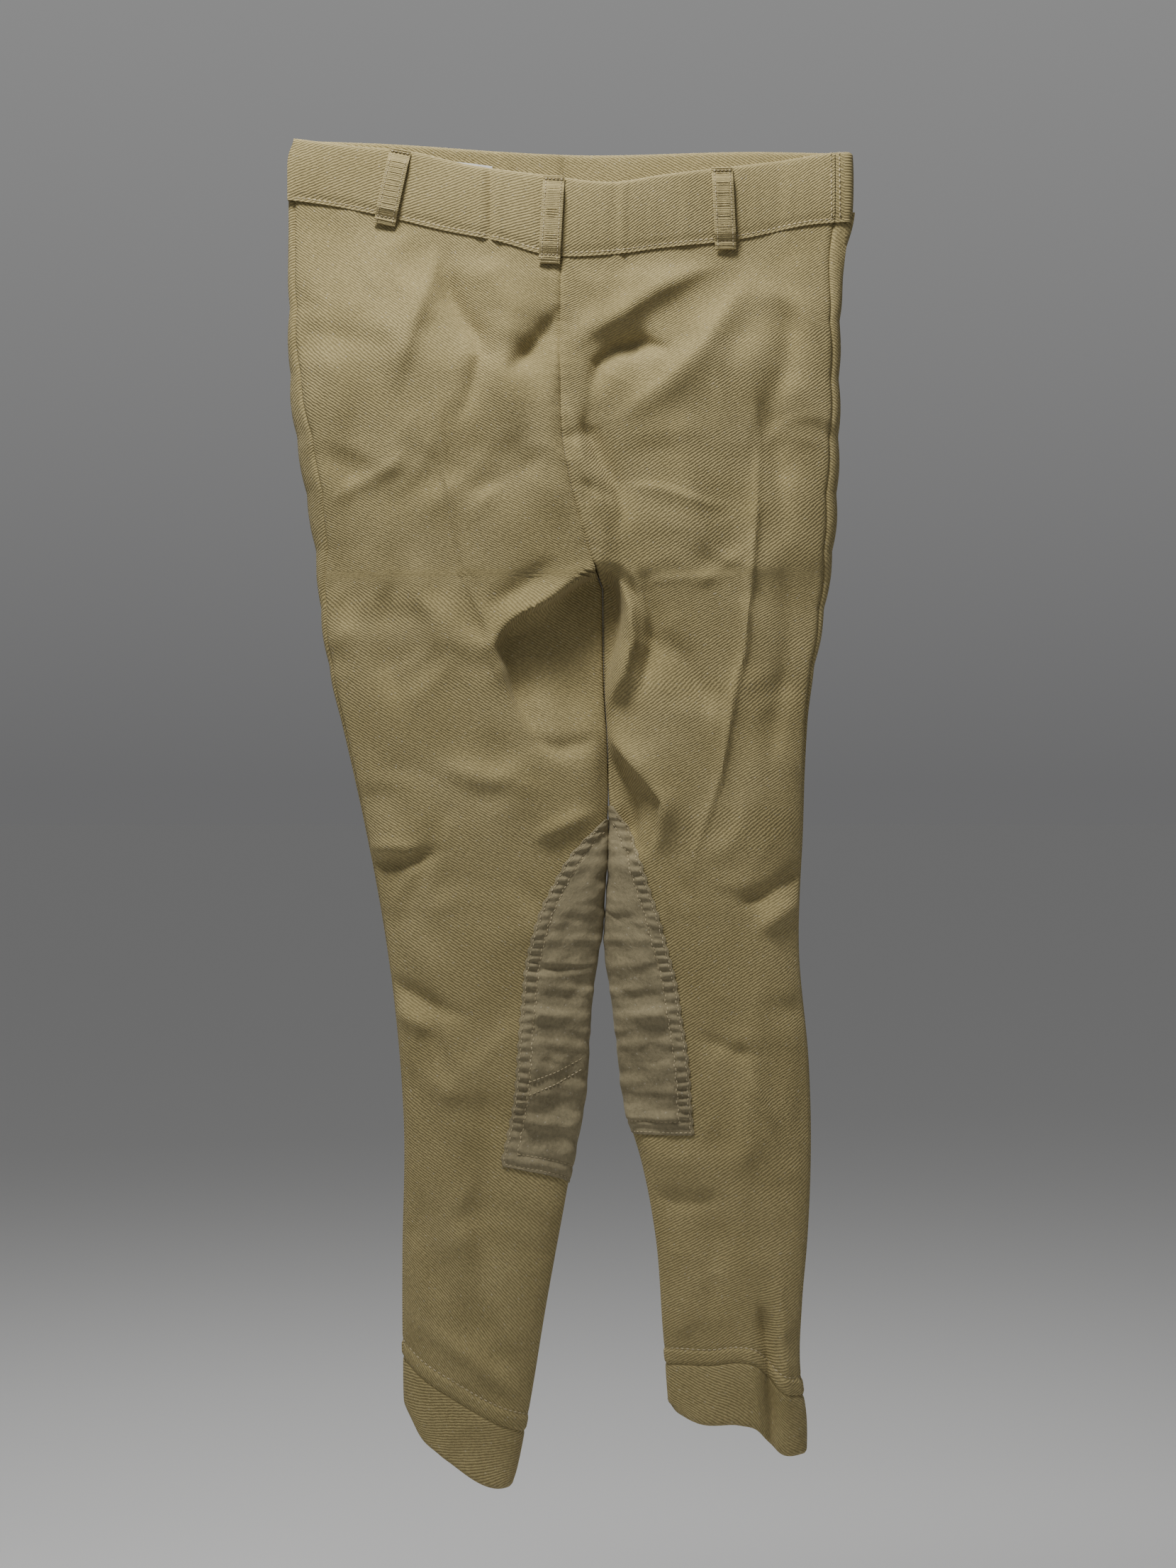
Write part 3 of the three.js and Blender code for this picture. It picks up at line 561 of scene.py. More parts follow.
def knit_finish(name, pale, deep, shade, rib=1.25, slant=30, raised=0.3, ribbed=1.0):
    """Fine ribbed knit on a piece's own flat map, which is in decimetres."""
    material, shader = new_finish(name, 0.93, 0.09, (0.95, 0.9, 0.75))
    flat = node(material, "ShaderNodeUVMap", uv_map="cloth").outputs["UV"]
    turned = node(material, "ShaderNodeMapping")
    turned.inputs["Rotation"].default_value = (0, 0, math.radians(90 - slant))
    turned.inputs["Scale"].default_value = (100, 100, 100)
    link(material, flat, turned.inputs["Vector"])
    ribs = node(material, "ShaderNodeTexWave", wave_type="BANDS", bands_direction="X", wave_profile="SIN")
    ribs.inputs["Scale"].default_value = 0.314 / rib
    ribs.inputs["Distortion"].default_value = 2.2
    ribs.inputs["Detail"].default_value = 2.0
    ribs.inputs["Detail Scale"].default_value = 1.6
    link(material, turned.outputs["Vector"], ribs.inputs["Vector"])
    crossed = node(material, "ShaderNodeMapping")
    crossed.inputs["Scale"].default_value = (0.45, 1.0, 1.0)
    link(material, turned.outputs["Vector"], crossed.inputs["Vector"])
    yarn = noise(material, crossed.outputs["Vector"], 1.25, 2.0)
    fuzz = noise(material, turned.outputs["Vector"], 0.55, 4.0, 0.7)
    slow = noise(material, flat, 2.6, 3.0)
    slower = noise(material, flat, 0.9, 2.0)
    pills = node(material, "ShaderNodeTexVoronoi", feature="F1")
    pills.inputs["Scale"].default_value = 0.3
    link(material, turned.outputs["Vector"], pills.inputs["Vector"])
    pill = maths(material, "LESS_THAN", pills.outputs["Distance"], 0.13)
    colour = ramp(material, slow, [(0.3, deep), (0.7, pale)])
    colour = tinted(material, colour, shade, ramp(material, slower, [(0.42, (0, 0, 0)), (0.75, (0.4,) * 3)]))
    # Painted shade: the base colour is darkened in the low grooves between the ribs, where the bump also sinks,
    # and made a touch lighter on the crests.
    groove = ramp(material, ribs.outputs["Fac"], [(0.0, (0.58,) * 3), (0.55, (1.08,) * 3)])
    colour = tinted(material, colour, groove, 0.8 * ribbed, "MULTIPLY")
    fuzz_tones = [(0.3, (0.72,) * 3), (0.7, (1.16,) * 3)]
    colour = tinted(material, colour, ramp(material, fuzz, fuzz_tones), 0.9, "MULTIPLY")
    colour = tinted(material, colour, (1.0, 0.96, 0.86), maths(material, "MULTIPLY", pill, 0.12))
    link(material, colour, shader.inputs["Base Color"])
    height = maths(material, "ADD", maths(material, "MULTIPLY", ribs.outputs["Fac"], 0.8 * ribbed),
                   maths(material, "MULTIPLY", yarn, 0.7))
    height = maths(material, "ADD", height, maths(material, "MULTIPLY", fuzz, 0.9))
    height = maths(material, "ADD", height, maths(material, "MULTIPLY", pill, 0.35))
    bump = node(material, "ShaderNodeBump")
    bump.inputs["Strength"].default_value = 0.9
    bump.inputs["Distance"].default_value = raised * MM
    link(material, height, bump.inputs["Height"])
    link(material, bump.outputs["Normal"], shader.inputs["Normal"])
    return material


KNIT_PALE = (0.43, 0.355, 0.175)
KNIT_DEEP = (0.36, 0.295, 0.138)
KNIT_SHADE = (0.3, 0.243, 0.112)
knit = knit_finish("tan_knit", KNIT_PALE, KNIT_DEEP, KNIT_SHADE)

ROWS_UNDER_BAND = 6
EDGE_STEPS = np.array([0, 0.35, 0.8, 1.4, 2.2, 3.2, 4.4])
COLUMNS = 84


def panel_grid(leg, face, drops):
    """Rows of one panel, evenly spaced along the cloth, with closer columns at its seams."""
    dense = np.linspace(0, 1, 420)[None, :]
    rows = np.asarray(drops, float)[:, None]
    seam = along(leg["seam"], rows)
    u = mix(1.0, seam, dense) if face == "front" else mix(-1.0, seam, dense)
    u = np.where(np.abs(u) < 1e-4, 1e-4, u)
    points = cloth(leg, u, rows + 0 * u)
    step = np.linalg.norm(np.diff(points, axis=1), axis=-1)
    length = np.concatenate([np.zeros((len(drops), 1)), np.cumsum(step, axis=1)], axis=1)
    made = np.empty((len(drops), COLUMNS, 3))
    at = np.empty((len(drops), COLUMNS))
    for i in range(len(drops)):
        total = length[i, -1]
        body = np.linspace(EDGE_STEPS[-1], total - EDGE_STEPS[-1], COLUMNS - 2 * len(EDGE_STEPS) + 2)
        at[i] = np.concatenate([EDGE_STEPS[:-1], body, (total - EDGE_STEPS[:-1])[::-1]])
        for k in range(3):
            made[i, :, k] = np.interp(at[i], length[i], points[i, :, k])
    # the seams draw the cloth in, and the turnings behind them lift it beside the seam
    normal = facing(made)
    outward = -1 if face == "front" else 1
    normal *= np.sign((normal[..., 1] * outward).sum()) or 1.0
    from_edge = np.minimum(at, at[:, -1:] - at)
    dip = -0.75 * np.exp(-((from_edge / 0.7) ** 2)) + 0.28 * np.exp(-(((from_edge - 3.2) / 1.8) ** 2))
    return made + normal * dip[..., None], at


def hem_ridge(drops, leg):
    """The turned allowance that shows as a low ridge between the hem stitching and the cuff seam."""
    seam = leg["hem"] - CUFF
    below_stitch = smooth(seam - 8, seam - 6, drops) * smooth(seam + 0.5, seam - 2, drops)
    groove = np.exp(-(((drops - seam + HEM_STITCH) / 1.1) ** 2)) + 1.2 * np.exp(-(((drops - seam) / 1.2) ** 2))
    return 0.55 * below_stitch - 0.28 * groove


for leg_name, leg in LEGS.items():
    seam_drop = leg["hem"] - CUFF
    for face in ("front", "back"):
        drops = np.concatenate([
            np.linspace(BAND - 5, BAND + 4, ROWS_UNDER_BAND)[:-1],
            np.linspace(BAND + 4, CROTCH + 40, 128)[:-1],
            np.linspace(CROTCH + 40, seam_drop - 12, 160)[:-1],
            np.linspace(seam_drop - 12, seam_drop, 16),
        ])
        grid, at = panel_grid(leg, face, drops)
        normal = facing(grid)
        normal *= np.sign((normal[..., 1] * (-1 if face == "front" else 1)).sum())
        grid = grid + normal * hem_ridge(drops, leg)[:, None, None]
        uv = np.stack([at / 100, -np.repeat(drops[:, None], COLUMNS, axis=1) / 100], -1)
        panel = cloth_piece(f"{leg_name}_{face}_cloth", grid, CLOTH, knit, uv)
        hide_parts(f"{leg_name}_{face}_panel_seat", f"{leg_name}_{face}_panel_leg")
        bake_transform(panel)

# ---- Waistband ----
# Two folded casings of the same knit, one across the front and one across the back, each
# stitched down along its lower edge over the panels. Inside each lies a flat woven elastic.
# The back casing wraps round the wearer's left end, so that side's seam shows on the front.
WALL = 1.1
STATION = 2.0
CASING_DEPTH = 4.4
RIGHT_END = -142.6  # the closed right end of both casings
LEFT_SEAM = 133.0  # where the back casing ends on the front
LEFT_END = 138.2  # where it turns round the left end
STITCH_SHARE = 0.95  # the casing's stitching, down its height
# upright creases in the front of the band: place, rise and softness
FRONT_CREASES = [(-46, 0.9, 2.6), (-41.5, -1.3, 1.8), (-37.5, 0.8, 2.2), (22.5, -0.7, 2.0), (25, 1.0, 1.3),
                 (-112, -0.5, 4), (58, 0.5, 5), (104, -0.5, 5)]


def casing_out(x, face):
    """How far the band's flat outer wall stands from the middle plane."""
    end = np.sqrt(np.clip(1 - np.abs(x / 144.5) ** 16, 0, 1))
    out = 0.25 + CASING_DEPTH * (0.5 + 0.5 * end) + WAIST_OPEN * bulge(x)
    if face == "front":
        out = out + sum(rise * np.exp(-(((x - at) / soft) ** 2)) for at, rise, soft in FRONT_CREASES)
    return out


def casing_puff(x, share):
    """The casing puffs between its top fold and its stitching, and is a little gathered."""
    body = np.sin(math.pi * np.clip(share / 0.92, 0, 1)) ** 0.7
    gather = 0.16 * np.sin(2 * math.pi * x / 7.7 + 1.3 * np.sin(x / 12)) * np.clip(share * 2, 0, 1)
    stitched = -0.8 * np.exp(-(((share - STITCH_SHARE) / 0.018) ** 2)) - 0.3 * smooth(0.98, 1.0, share)
    return (0.75 + gather) * body + stitched


def band_plan(face):
    """Stations along a casing: place across, and the way its outer wall faces."""
    if face == "front":
        x = np.linspace(RIGHT_END, LEFT_SEAM - 0.2, int(275 / STATION))
        return x, np.full(len(x), -math.pi / 2)
    x = np.linspace(RIGHT_END, LEFT_END, int(281 / STATION))
    turn = np.linspace(math.pi / 2, -math.pi / 2, 15)[1:-1]
    front = np.linspace(LEFT_END, LEFT_SEAM + 0.2, 4)
    place = np.concatenate([x, np.full(len(turn), LEFT_END), front])
    way = np.concatenate([np.full(len(x), math.pi / 2), turn, np.full(len(front), -math.pi / 2)])
    return place, way


def casing_path(height, depth, turns=9, wall_steps=17):
    """Half of the casing's section, up the outer wall, over the fold and down the inner wall."""
    r = depth / 2
    up = np.linspace(0, 1, wall_steps)
    outer = [(0.0, height + (r - height) * t, -1.0, 0.0) for t in up[:-1]]
    bend = [(r - r * math.cos(a), r - r * math.sin(a), -math.cos(a), -math.sin(a))
            for a in np.linspace(0, math.pi, turns)]
    inner = [(depth, r + (height - r) * t, 1.0, 0.0) for t in up[1:]]
    return np.array(outer + bend + inner)


def swept(name, rings, material, uv):
    """A flat-ended solid from closed rings of points; each ring runs out along one side and back."""
    count, around = rings.shape[:2]
    quads = [grid_faces(count, around, 0, around=True)]
    half = around // 2
    i = np.arange(half - 1)
    cap = np.stack([i, i + 1, around - 2 - i, around - 1 - i], -1)
    quads += [cap, cap[:, ::-1] + (count - 1) * around]
    quads = np.concatenate(quads)
    piece = make_piece(name, rings.reshape(-1, 3), quads, material, uv.reshape(-1, 2))
    turn_out(piece)
    return piece


def turn_out(piece):
    """Turns every face of a closed piece outward."""
    made = bmesh.new()
    made.from_mesh(piece.data)
    bmesh.ops.recalc_face_normals(made, faces=made.faces)
    made.to_mesh(piece.data)
    made.free()


for face in ("front", "back"):
    rings, flats = [], []
    for at, angle in zip(*band_plan(face)):
        turned = (1 - math.sin(angle)) / 2 if face == "back" else 1.0
        top = mix(along(BAND_TOP["back"], at), along(BAND_TOP["front"], at), turned)
        foot = mix(along(BAND_FOOT["back"], at), along(BAND_FOOT["front"], at), turned)
        out = float(casing_out(np.array(at), face))
        height = float(top - foot)
        depth = out - 0.3 - WAIST_OPEN * float(bulge(np.array(at)))
        path = casing_path(height, depth)
        share = path[:, 1] / height
        puff = casing_puff(at, share) * (path[:, 2] < 0.5) * (0.3 if abs(at) > 140 else 1.0)
        inside = np.zeros(len(path))
        if face == "back" and angle > 0:
            # the turned ends of the casing's own join show as two low bumps inside the back
            for middle, wide in ((-32, 4.5), (-16, 9.5)):
                bump = smooth(wide + 2, wide, abs(at - middle)) * smooth(0.95, 0.8, share)
                inside += 1.5 * bump * (path[:, 2] > 0.5)
        o = path[:, 0] - puff + inside
        loop = np.concatenate([
            np.stack([o, path[:, 1]], -1),
            np.stack([o - path[:, 2] * WALL, path[:, 1] - path[:, 3] * WALL], -1)[::-1],
        ])
        reach = out - loop[:, 0]
        across = at + reach * math.cos(angle)
        # the right end stands out a little further at the middle of its height, with a rounded top corner
        down = np.clip(loop[:, 1] / height, 0, 1)
        stand = 1.6 * smooth(0, 0.45, down) - 1.6 * smooth(0.3, 0, down)
        across = across - smooth(-128, RIGHT_END, at) * stand
        ring = np.stack([across, reach * math.sin(angle), top - loop[:, 1]], -1)
        rings.append(ring)
        walk = np.concatenate([[0], np.cumsum(np.hypot(*np.diff(path[:, :2], axis=0).T))])
        walk = np.concatenate([walk, walk[::-1]])
        run = 2 * LEFT_END - at + 12 if face == "back" and angle < 0 else at
        flats.append(np.stack([np.full(len(walk), run / 100), walk / 100], -1))
    band = swept(f"{face}_band", np.array(rings), knit, np.array(flats))
    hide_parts(f"waistband_{face}")
    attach(band, "seat")

# Woven elastic: a flat ribbed band, 1.2 mm thick, lying free in the casing.
elastic, elastic_shader = new_finish("woven_elastic", 0.7, 0.1, (1, 1, 1))
elastic_flat = node(elastic, "ShaderNodeUVMap", uv_map="cloth").outputs["UV"]
elastic_ribs = node(elastic, "ShaderNodeTexWave", wave_type="BANDS", bands_direction="Y")
elastic_ribs.inputs["Scale"].default_value = 18
link(elastic, elastic_flat, elastic_ribs.inputs["Vector"])
link(elastic, ramp(elastic, elastic_ribs.outputs["Fac"], [(0, (0.5, 0.49, 0.46)), (1, (0.72, 0.71, 0.68))]),
     elastic_shader.inputs["Base Color"])
for face in ("front", "back"):
    rings, flats = [], []
    for x in np.linspace(-140, 131, 110):
        top, foot = along(BAND_TOP[face], x), along(BAND_FOOT[face], x)
        out = float(casing_out(np.array(x), face))
        near, far = out - 1.5, out - 2.7
        section = [(near, foot + 8), (near, (top + foot) / 2), (near, top - 2.8), (far, top - 2.8),
                   (far, (top + foot) / 2), (far, foot + 8)]
        sign = -1 if face == "front" else 1
        rings.append([(x, sign * y, z) for y, z in section])
        flats.append([(x / 100, z / 100) for y, z in section])
    strap = swept(f"{face}_elastic", np.array(rings, float), elastic, np.array(flats, float))
    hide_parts(f"waist_elastic_{face}")
    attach(strap, "seat")

# ---- Care label ----
# A small plain woven label with no print, caught in the top of the back casing's inner side.
label, label_shader = new_finish("woven_label", 0.55, 0.05, (1, 1, 1))
label_flat = node(label, "ShaderNodeUVMap", uv_map="cloth").outputs["UV"]
label_weave = node(label, "ShaderNodeTexWave", wave_type="BANDS", bands_direction="X")
label_weave.inputs["Scale"].default_value = 60
link(label, label_flat, label_weave.inputs["Vector"])
link(label, ramp(label, label_weave.outputs["Fac"], [(0, (0.62, 0.61, 0.58)), (1, (0.8, 0.79, 0.76))]),
     label_shader.inputs["Base Color"])
label_x = np.linspace(-61, -41, 14)[None, :] + np.zeros((20, 1))
label_down = np.linspace(0, 33, 20)[:, None] + np.zeros((1, 14))
curl = 0.5 + 1.6 * (label_down / 33) ** 2 + 0.5 * np.sin((label_x + 61) / 20 * math.pi)
label_points = np.stack([
    label_x,
    0.3 + WAIST_OPEN * bulge(label_x) - curl - 0.5,
    along(BAND_TOP["back"], label_x) - 7.5 - 0.05 * (label_x + 61) - 0.88 * label_down,
], -1)
care = cloth_piece("sewn_label", label_points, 0.35, label, np.stack([label_x / 100, label_down / 100], -1))
turn_out(care)
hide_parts("care_label")
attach(care, "seat")

# ---- Stitching ----
# Lockstitch in a paler polyester thread. Each visible stitch is a short plump capsule that lies
# along its row and dips into the cloth at both ends, made once and repeated along a curve.
thread_finish, thread_shader = new_finish("sewing_thread", 0.55, 0.15, (1, 0.95, 0.85))
thread_place = node(thread_finish, "ShaderNodeTexCoord").outputs["Object"]
thread_tones = [(0.35, (0.40, 0.335, 0.20)), (0.65, (0.56, 0.48, 0.31))]
link(thread_finish, ramp(thread_finish, noise(thread_finish, thread_place, 90.0, 2.0), thread_tones),
     thread_shader.inputs["Base Color"])


def stitch_tree():
    """Repeats one stitch along a curve, turned to the row and to the cloth's own facing."""
    tree = bpy.data.node_groups.new("stitch_row", "GeometryNodeTree")
    face = tree.interface
    face.new_socket("Row", in_out="INPUT", socket_type="NodeSocketGeometry")
    for name, value in (("Pitch", 0.0022), ("Stitch Length", 0.0019), ("Stitch Width", 0.0006)):
        face.new_socket(name, in_out="INPUT", socket_type="NodeSocketFloat").default_value = value
    face.new_socket("Finish", in_out="INPUT", socket_type="NodeSocketMaterial")
    face.new_socket("Stitches", in_out="OUTPUT", socket_type="NodeSocketGeometry")
    new = tree.nodes.new
    start, end = new("NodeGroupInput"), new("NodeGroupOutput")
    curve, spread = new("GeometryNodeMeshToCurve"), new("GeometryNodeResampleCurve")
    spread.mode = "LENGTH"
    ball, size = new("GeometryNodeMeshUVSphere"), new("ShaderNodeCombineXYZ")
    shape = new("GeometryNodeTransform")
    ball.inputs["Segments"].default_value = 6
    ball.inputs["Rings"].default_value = 5
    ball.inputs["Radius"].default_value = 0.5
    run, out = new("GeometryNodeInputTangent"), new("GeometryNodeInputNamedAttribute")
    out.data_type = "FLOAT_VECTOR"
    out.inputs["Name"].default_value = "facing"
    turn, lift = new("FunctionNodeAlignRotationToVector"), new("FunctionNodeAlignRotationToVector")
    turn.axis, lift.axis, lift.pivot_axis = "X", "Z", "X"
    place, real = new("GeometryNodeInstanceOnPoints"), new("GeometryNodeRealizeInstances")
    paint = new("GeometryNodeSetMaterial")
    for source, made, target, used in (
            (start, "Row", curve, "Mesh"), (curve, "Curve", spread, "Curve"),
            (start, "Pitch", spread, "Length"), (start, "Stitch Length", size, "X"),
            (start, "Stitch Width", size, "Y"), (start, "Stitch Width", size, "Z"),
            (ball, "Mesh", shape, "Geometry"), (size, "Vector", shape, "Scale"),
            (run, "Tangent", turn, "Vector"), (turn, "Rotation", lift, "Rotation"),
            (out, "Attribute", lift, "Vector"), (spread, "Curve", place, "Points"),
            (shape, "Geometry", place, "Instance"), (lift, "Rotation", place, "Rotation"),
            (place, "Instances", real, "Geometry"), (real, "Geometry", paint, "Geometry"),
            (start, "Finish", paint, "Material"), (paint, "Geometry", end, "Stitches"),
    ):
        tree.links.new(source.outputs[made], target.inputs[used])
    return tree


STITCHES = stitch_tree()


def sew(name, rows, pitch=2.7, length=2.1, width=0.75):
    """Rows of stitches along lines of (point, facing) in mm, as one plain mesh."""
    points, facings, edges = [], [], []
    for line, out in rows:
        start = len(points)
        points += [tuple(p) for p in np.asarray(line) * MM]
        facings += [tuple(n) for n in np.asarray(out)]
        edges += [(start + i, start + i + 1) for i in range(len(line) - 1)]
    guide = bpy.data.meshes.new(name)
    guide.from_pydata(points, edges, [])
    way = guide.attributes.new("facing", "FLOAT_VECTOR", "POINT")
    way.data.foreach_set("vector", np.array(facings, np.float32).ravel())
    row = bpy.data.objects.new(name, guide)
    bpy.context.scene.collection.objects.link(row)
    maker = row.modifiers.new("stitches", "NODES")
    maker.node_group = STITCHES
    sizes = {"Pitch": pitch * MM, "Stitch Length": length * MM, "Stitch Width": width * MM,
             "Finish": thread_finish}
    for item in STITCHES.interface.items_tree:
        if item.in_out == "INPUT" and item.name in sizes:
            maker[item.identifier] = sizes[item.name]
    bpy.context.view_layer.update()
    made = bpy.data.meshes.new_from_object(row.evaluated_get(bpy.context.evaluated_depsgraph_get()))
    row.modifiers.remove(maker)
    row.data = made
    made.name = name
    made.polygons.foreach_set("use_smooth", np.ones(len(made.polygons), bool))
    return row


def band_line(face, x, share, lift):
    """Points on a casing's outer wall, with the way the cloth faces there."""
    x = np.asarray(x, float)
    share = np.zeros_like(x) + share
    top, foot = along(BAND_TOP[face], x), along(BAND_FOOT[face], x)
    sign = -1 if face == "front" else 1
    out = casing_out(x, face) + casing_puff(x, share) + lift
    slope = np.gradient(out, x) if len(x) > 2 and np.ptp(x) > 1 else np.zeros_like(x)
    points = np.stack([x, sign * out, top + (foot - top) * share], -1)
    facing_out = np.stack([-slope, np.full_like(x, sign), 0 * x], -1)
    return points, facing_out / np.linalg.norm(facing_out, axis=-1, keepdims=True)


for face in ("front", "back"):
    left_most = LEFT_SEAM - 1.5 if face == "front" else 141
    rows = [band_line(face, np.linspace(-141, left_most, 160), STITCH_SHARE, 0.2)]
    if face == "front":
        for x in (130.9, 135.1):
            rows.append(band_line(face, np.linspace(x, x + 0.4, 16), np.linspace(0.03, 0.9, 16), 0.1))
    row = sew(f"{face}_band_stitching", rows)
    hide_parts(f"waist_topstitch_{face}")
    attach(row, "seat")

# ---- Belt loops ----
# Six narrow strips of the knit, folded to a double thickness and ribbed across. The ends are
# turned under and barred down at the top of the band and just below it; a belt goes behind.
LOOP_HALF = 5.4  # half the strip's width
LOOPS = {
    "belt_loop_front_right": ("front", -86.5, -95.0),
    "belt_loop_front_centre": ("front", -9.0, -11.5),
    "belt_loop_front_left": ("front", 75.5, 77.5),
    "belt_loop_back_right": ("back", -78.0, -79.5),
    "belt_loop_back_centre": ("back", -14.0, -14.0),
    "belt_loop_back_left": ("back", 78.0, 79.5),
}
loop_knit = knit_finish("loop_knit", (0.44, 0.365, 0.185), (0.39, 0.32, 0.155), (0.34, 0.28, 0.135), rib=0.9,
                        slant=0, raised=0.2)
for loop_name, (face, top_x, foot_x) in LOOPS.items():
    sign = -1 if face == "front" else 1
    steps = 72
    s = np.linspace(0, 1, steps)
    top = along(BAND_TOP[face], top_x) - 0.6
    foot = along(BAND_FOOT[face], foot_x) - 4.6
    long = top - foot
    middle_x = mix(top_x, foot_x, s)
    ends = np.minimum(smooth(0.05, 0.2, s), smooth(0.92, 0.78, s))
    gap = 0.3 + 2.0 * ends - 0.75 * smooth(0.93, 0.97, s)
    thick = 1.15 + 0.4 * smooth(0.07, 0.03, s) + 0.35 * smooth(0.915, 0.95, s)
    over = np.linspace(-1, 1, 15)
    crown = np.sqrt(np.clip(1 - np.abs(over) ** 8, 0, 1))
    ring_v = np.concatenate([over, over[::-1]]) * LOOP_HALF
    rings, flats = [], []
    for i in range(steps):
        ribs = 0.2 * math.sin(2 * math.pi * s[i] * long / 1.3) * (1 - np.abs(over) ** 6)
        grooves = -0.28 * np.exp(-(((np.abs(over) - 0.76) / 0.07) ** 2))
        bar = 0.3 * (math.exp(-(((s[i] - 0.045) / 0.016) ** 2)) + math.exp(-(((s[i] - 0.9) / 0.014) ** 2)))
        outer = gap[i] + thick[i] * (0.5 + 0.5 * crown) + ribs + grooves - bar
        inner = gap[i] + thick[i] * (0.5 - 0.5 * crown)
        tip = 1 - 0.5 * (smooth(0.012, 0, s[i]) + smooth(0.988, 1, s[i]))
        centre = (outer + inner) / 2
        outer, inner = centre + (outer - centre) * tip, centre + (inner - centre) * tip
        lift = np.concatenate([outer, inner[::-1]])
        x = middle_x[i] + ring_v
        z = top - s[i] * long + ring_v * (foot_x - top_x) / long
        band_top, band_foot = along(BAND_TOP[face], x), along(BAND_FOOT[face], x)
        drop_share = np.clip((band_top - z) / (band_top - band_foot), 0.1, 0.85)
        base = casing_out(x, face) + casing_puff(x, drop_share)
        rings.append(np.stack([x, sign * (base + lift), z], -1))
        flats.append(np.stack([(ring_v + 6) / 100, np.full(len(x), s[i] * long / 100)], -1))
    rings = np.array(rings)
    loop = swept(f"{loop_name}_strip", rings, loop_knit, np.array(flats))
    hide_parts(loop_name)
    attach(loop, "seat")
    outward = np.array([0, sign, 0.0])
    rows = []
    for column in (2, 12):
        line = rings[3:-3, column] + outward * 0.12
        rows.append((line[::2], np.tile(outward, (len(line[::2]), 1))))
    for share in (0.045, 0.9):
        i = int(round(share * (steps - 1)))
        line = rings[i, 2:13] + outward * 0.15
        rows.append((line, np.tile(outward, (len(line), 1))))
    edge = sew(f"{loop_name}_stitching", rows, pitch=1.9, length=1.6, width=0.5)
    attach(edge, "seat")

# ---- Hem cuffs ----
# A band of the same knit turned up double and sewn round each leg's lower edge. The turning
# lies upwards inside the leg, and one row of topstitch holds it down above the seam.
CUFF_COLUMNS = 120
once_round = np.linspace(0, 2 * math.pi, 721)
round_leg = np.where(once_round <= math.pi, once_round / math.pi, -(2 * math.pi - once_round) / math.pi)
round_leg = np.where(np.abs(round_leg) < 1e-4, 1e-4, round_leg)  # starts just on the front of the tip
for leg_name, leg in LEGS.items():
    seam_drop = leg["hem"] - CUFF
    drops = np.concatenate([[0, 0.4, 0.9, 1.6, 2.6], np.linspace(4, 29, 15), [30, 30.6, 31.0]]) + seam_drop
    outer = []
    for drop in drops:
        row = cloth(leg, round_leg, np.full(round_leg.shape, drop))
        length = walk_along(row)
        outer.append(spaced(row, np.linspace(0, length[-1], CUFF_COLUMNS + 1)[:-1], length))
    outer = np.array(outer)
    centre = outer.mean(axis=1, keepdims=True)
    normal = facing(np.concatenate([outer[:, -1:], outer, outer[:, :1]], axis=1))[:, 1:-1]
    normal = turned_from(centre, outer, normal)
    down = drops - seam_drop
    shape_out = -0.4 * np.exp(-((down / 0.9) ** 2)) + 0.1 * smooth(0, 3, down)
    shape_out += 0.25 * np.sin(down / CUFF * math.pi) - 0.8 * smooth(CUFF - 1.5, CUFF, down)
    outer = outer + normal * shape_out[:, None, None]
    run = np.linspace(0, 1.45, CUFF_COLUMNS)[None, :] + 0 * outer[..., 0]
    uv = np.stack([run, -np.repeat(drops[:, None], CUFF_COLUMNS, axis=1) / 100], -1)
    cuff = cloth_piece(f"{leg_name}_hem_cuff", outer, 2.0, knit, uv, around=True)
    turn_out(cuff)
    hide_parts(f"{leg_name}_cuff")
    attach(cuff, f"{leg_name}_leg")
    stitch_drop = seam_drop - HEM_STITCH
    u = round_leg[::4]
    line = cloth(leg, u, np.full(u.shape, stitch_drop))
    above = cloth(leg, u, np.full(u.shape, stitch_drop - 1.0))
    out = np.cross(np.gradient(line, axis=0), above - line)
    out /= np.maximum(np.linalg.norm(out, axis=1, keepdims=True), 1e-9)
    out = turned_from(line.mean(axis=0), line, out)
    row = sew(f"{leg_name}_hem_stitching", [(line - out * 0.35, out)])
    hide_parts(f"{leg_name}_hem_topstitch")
    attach(row, f"{leg_name}_leg")

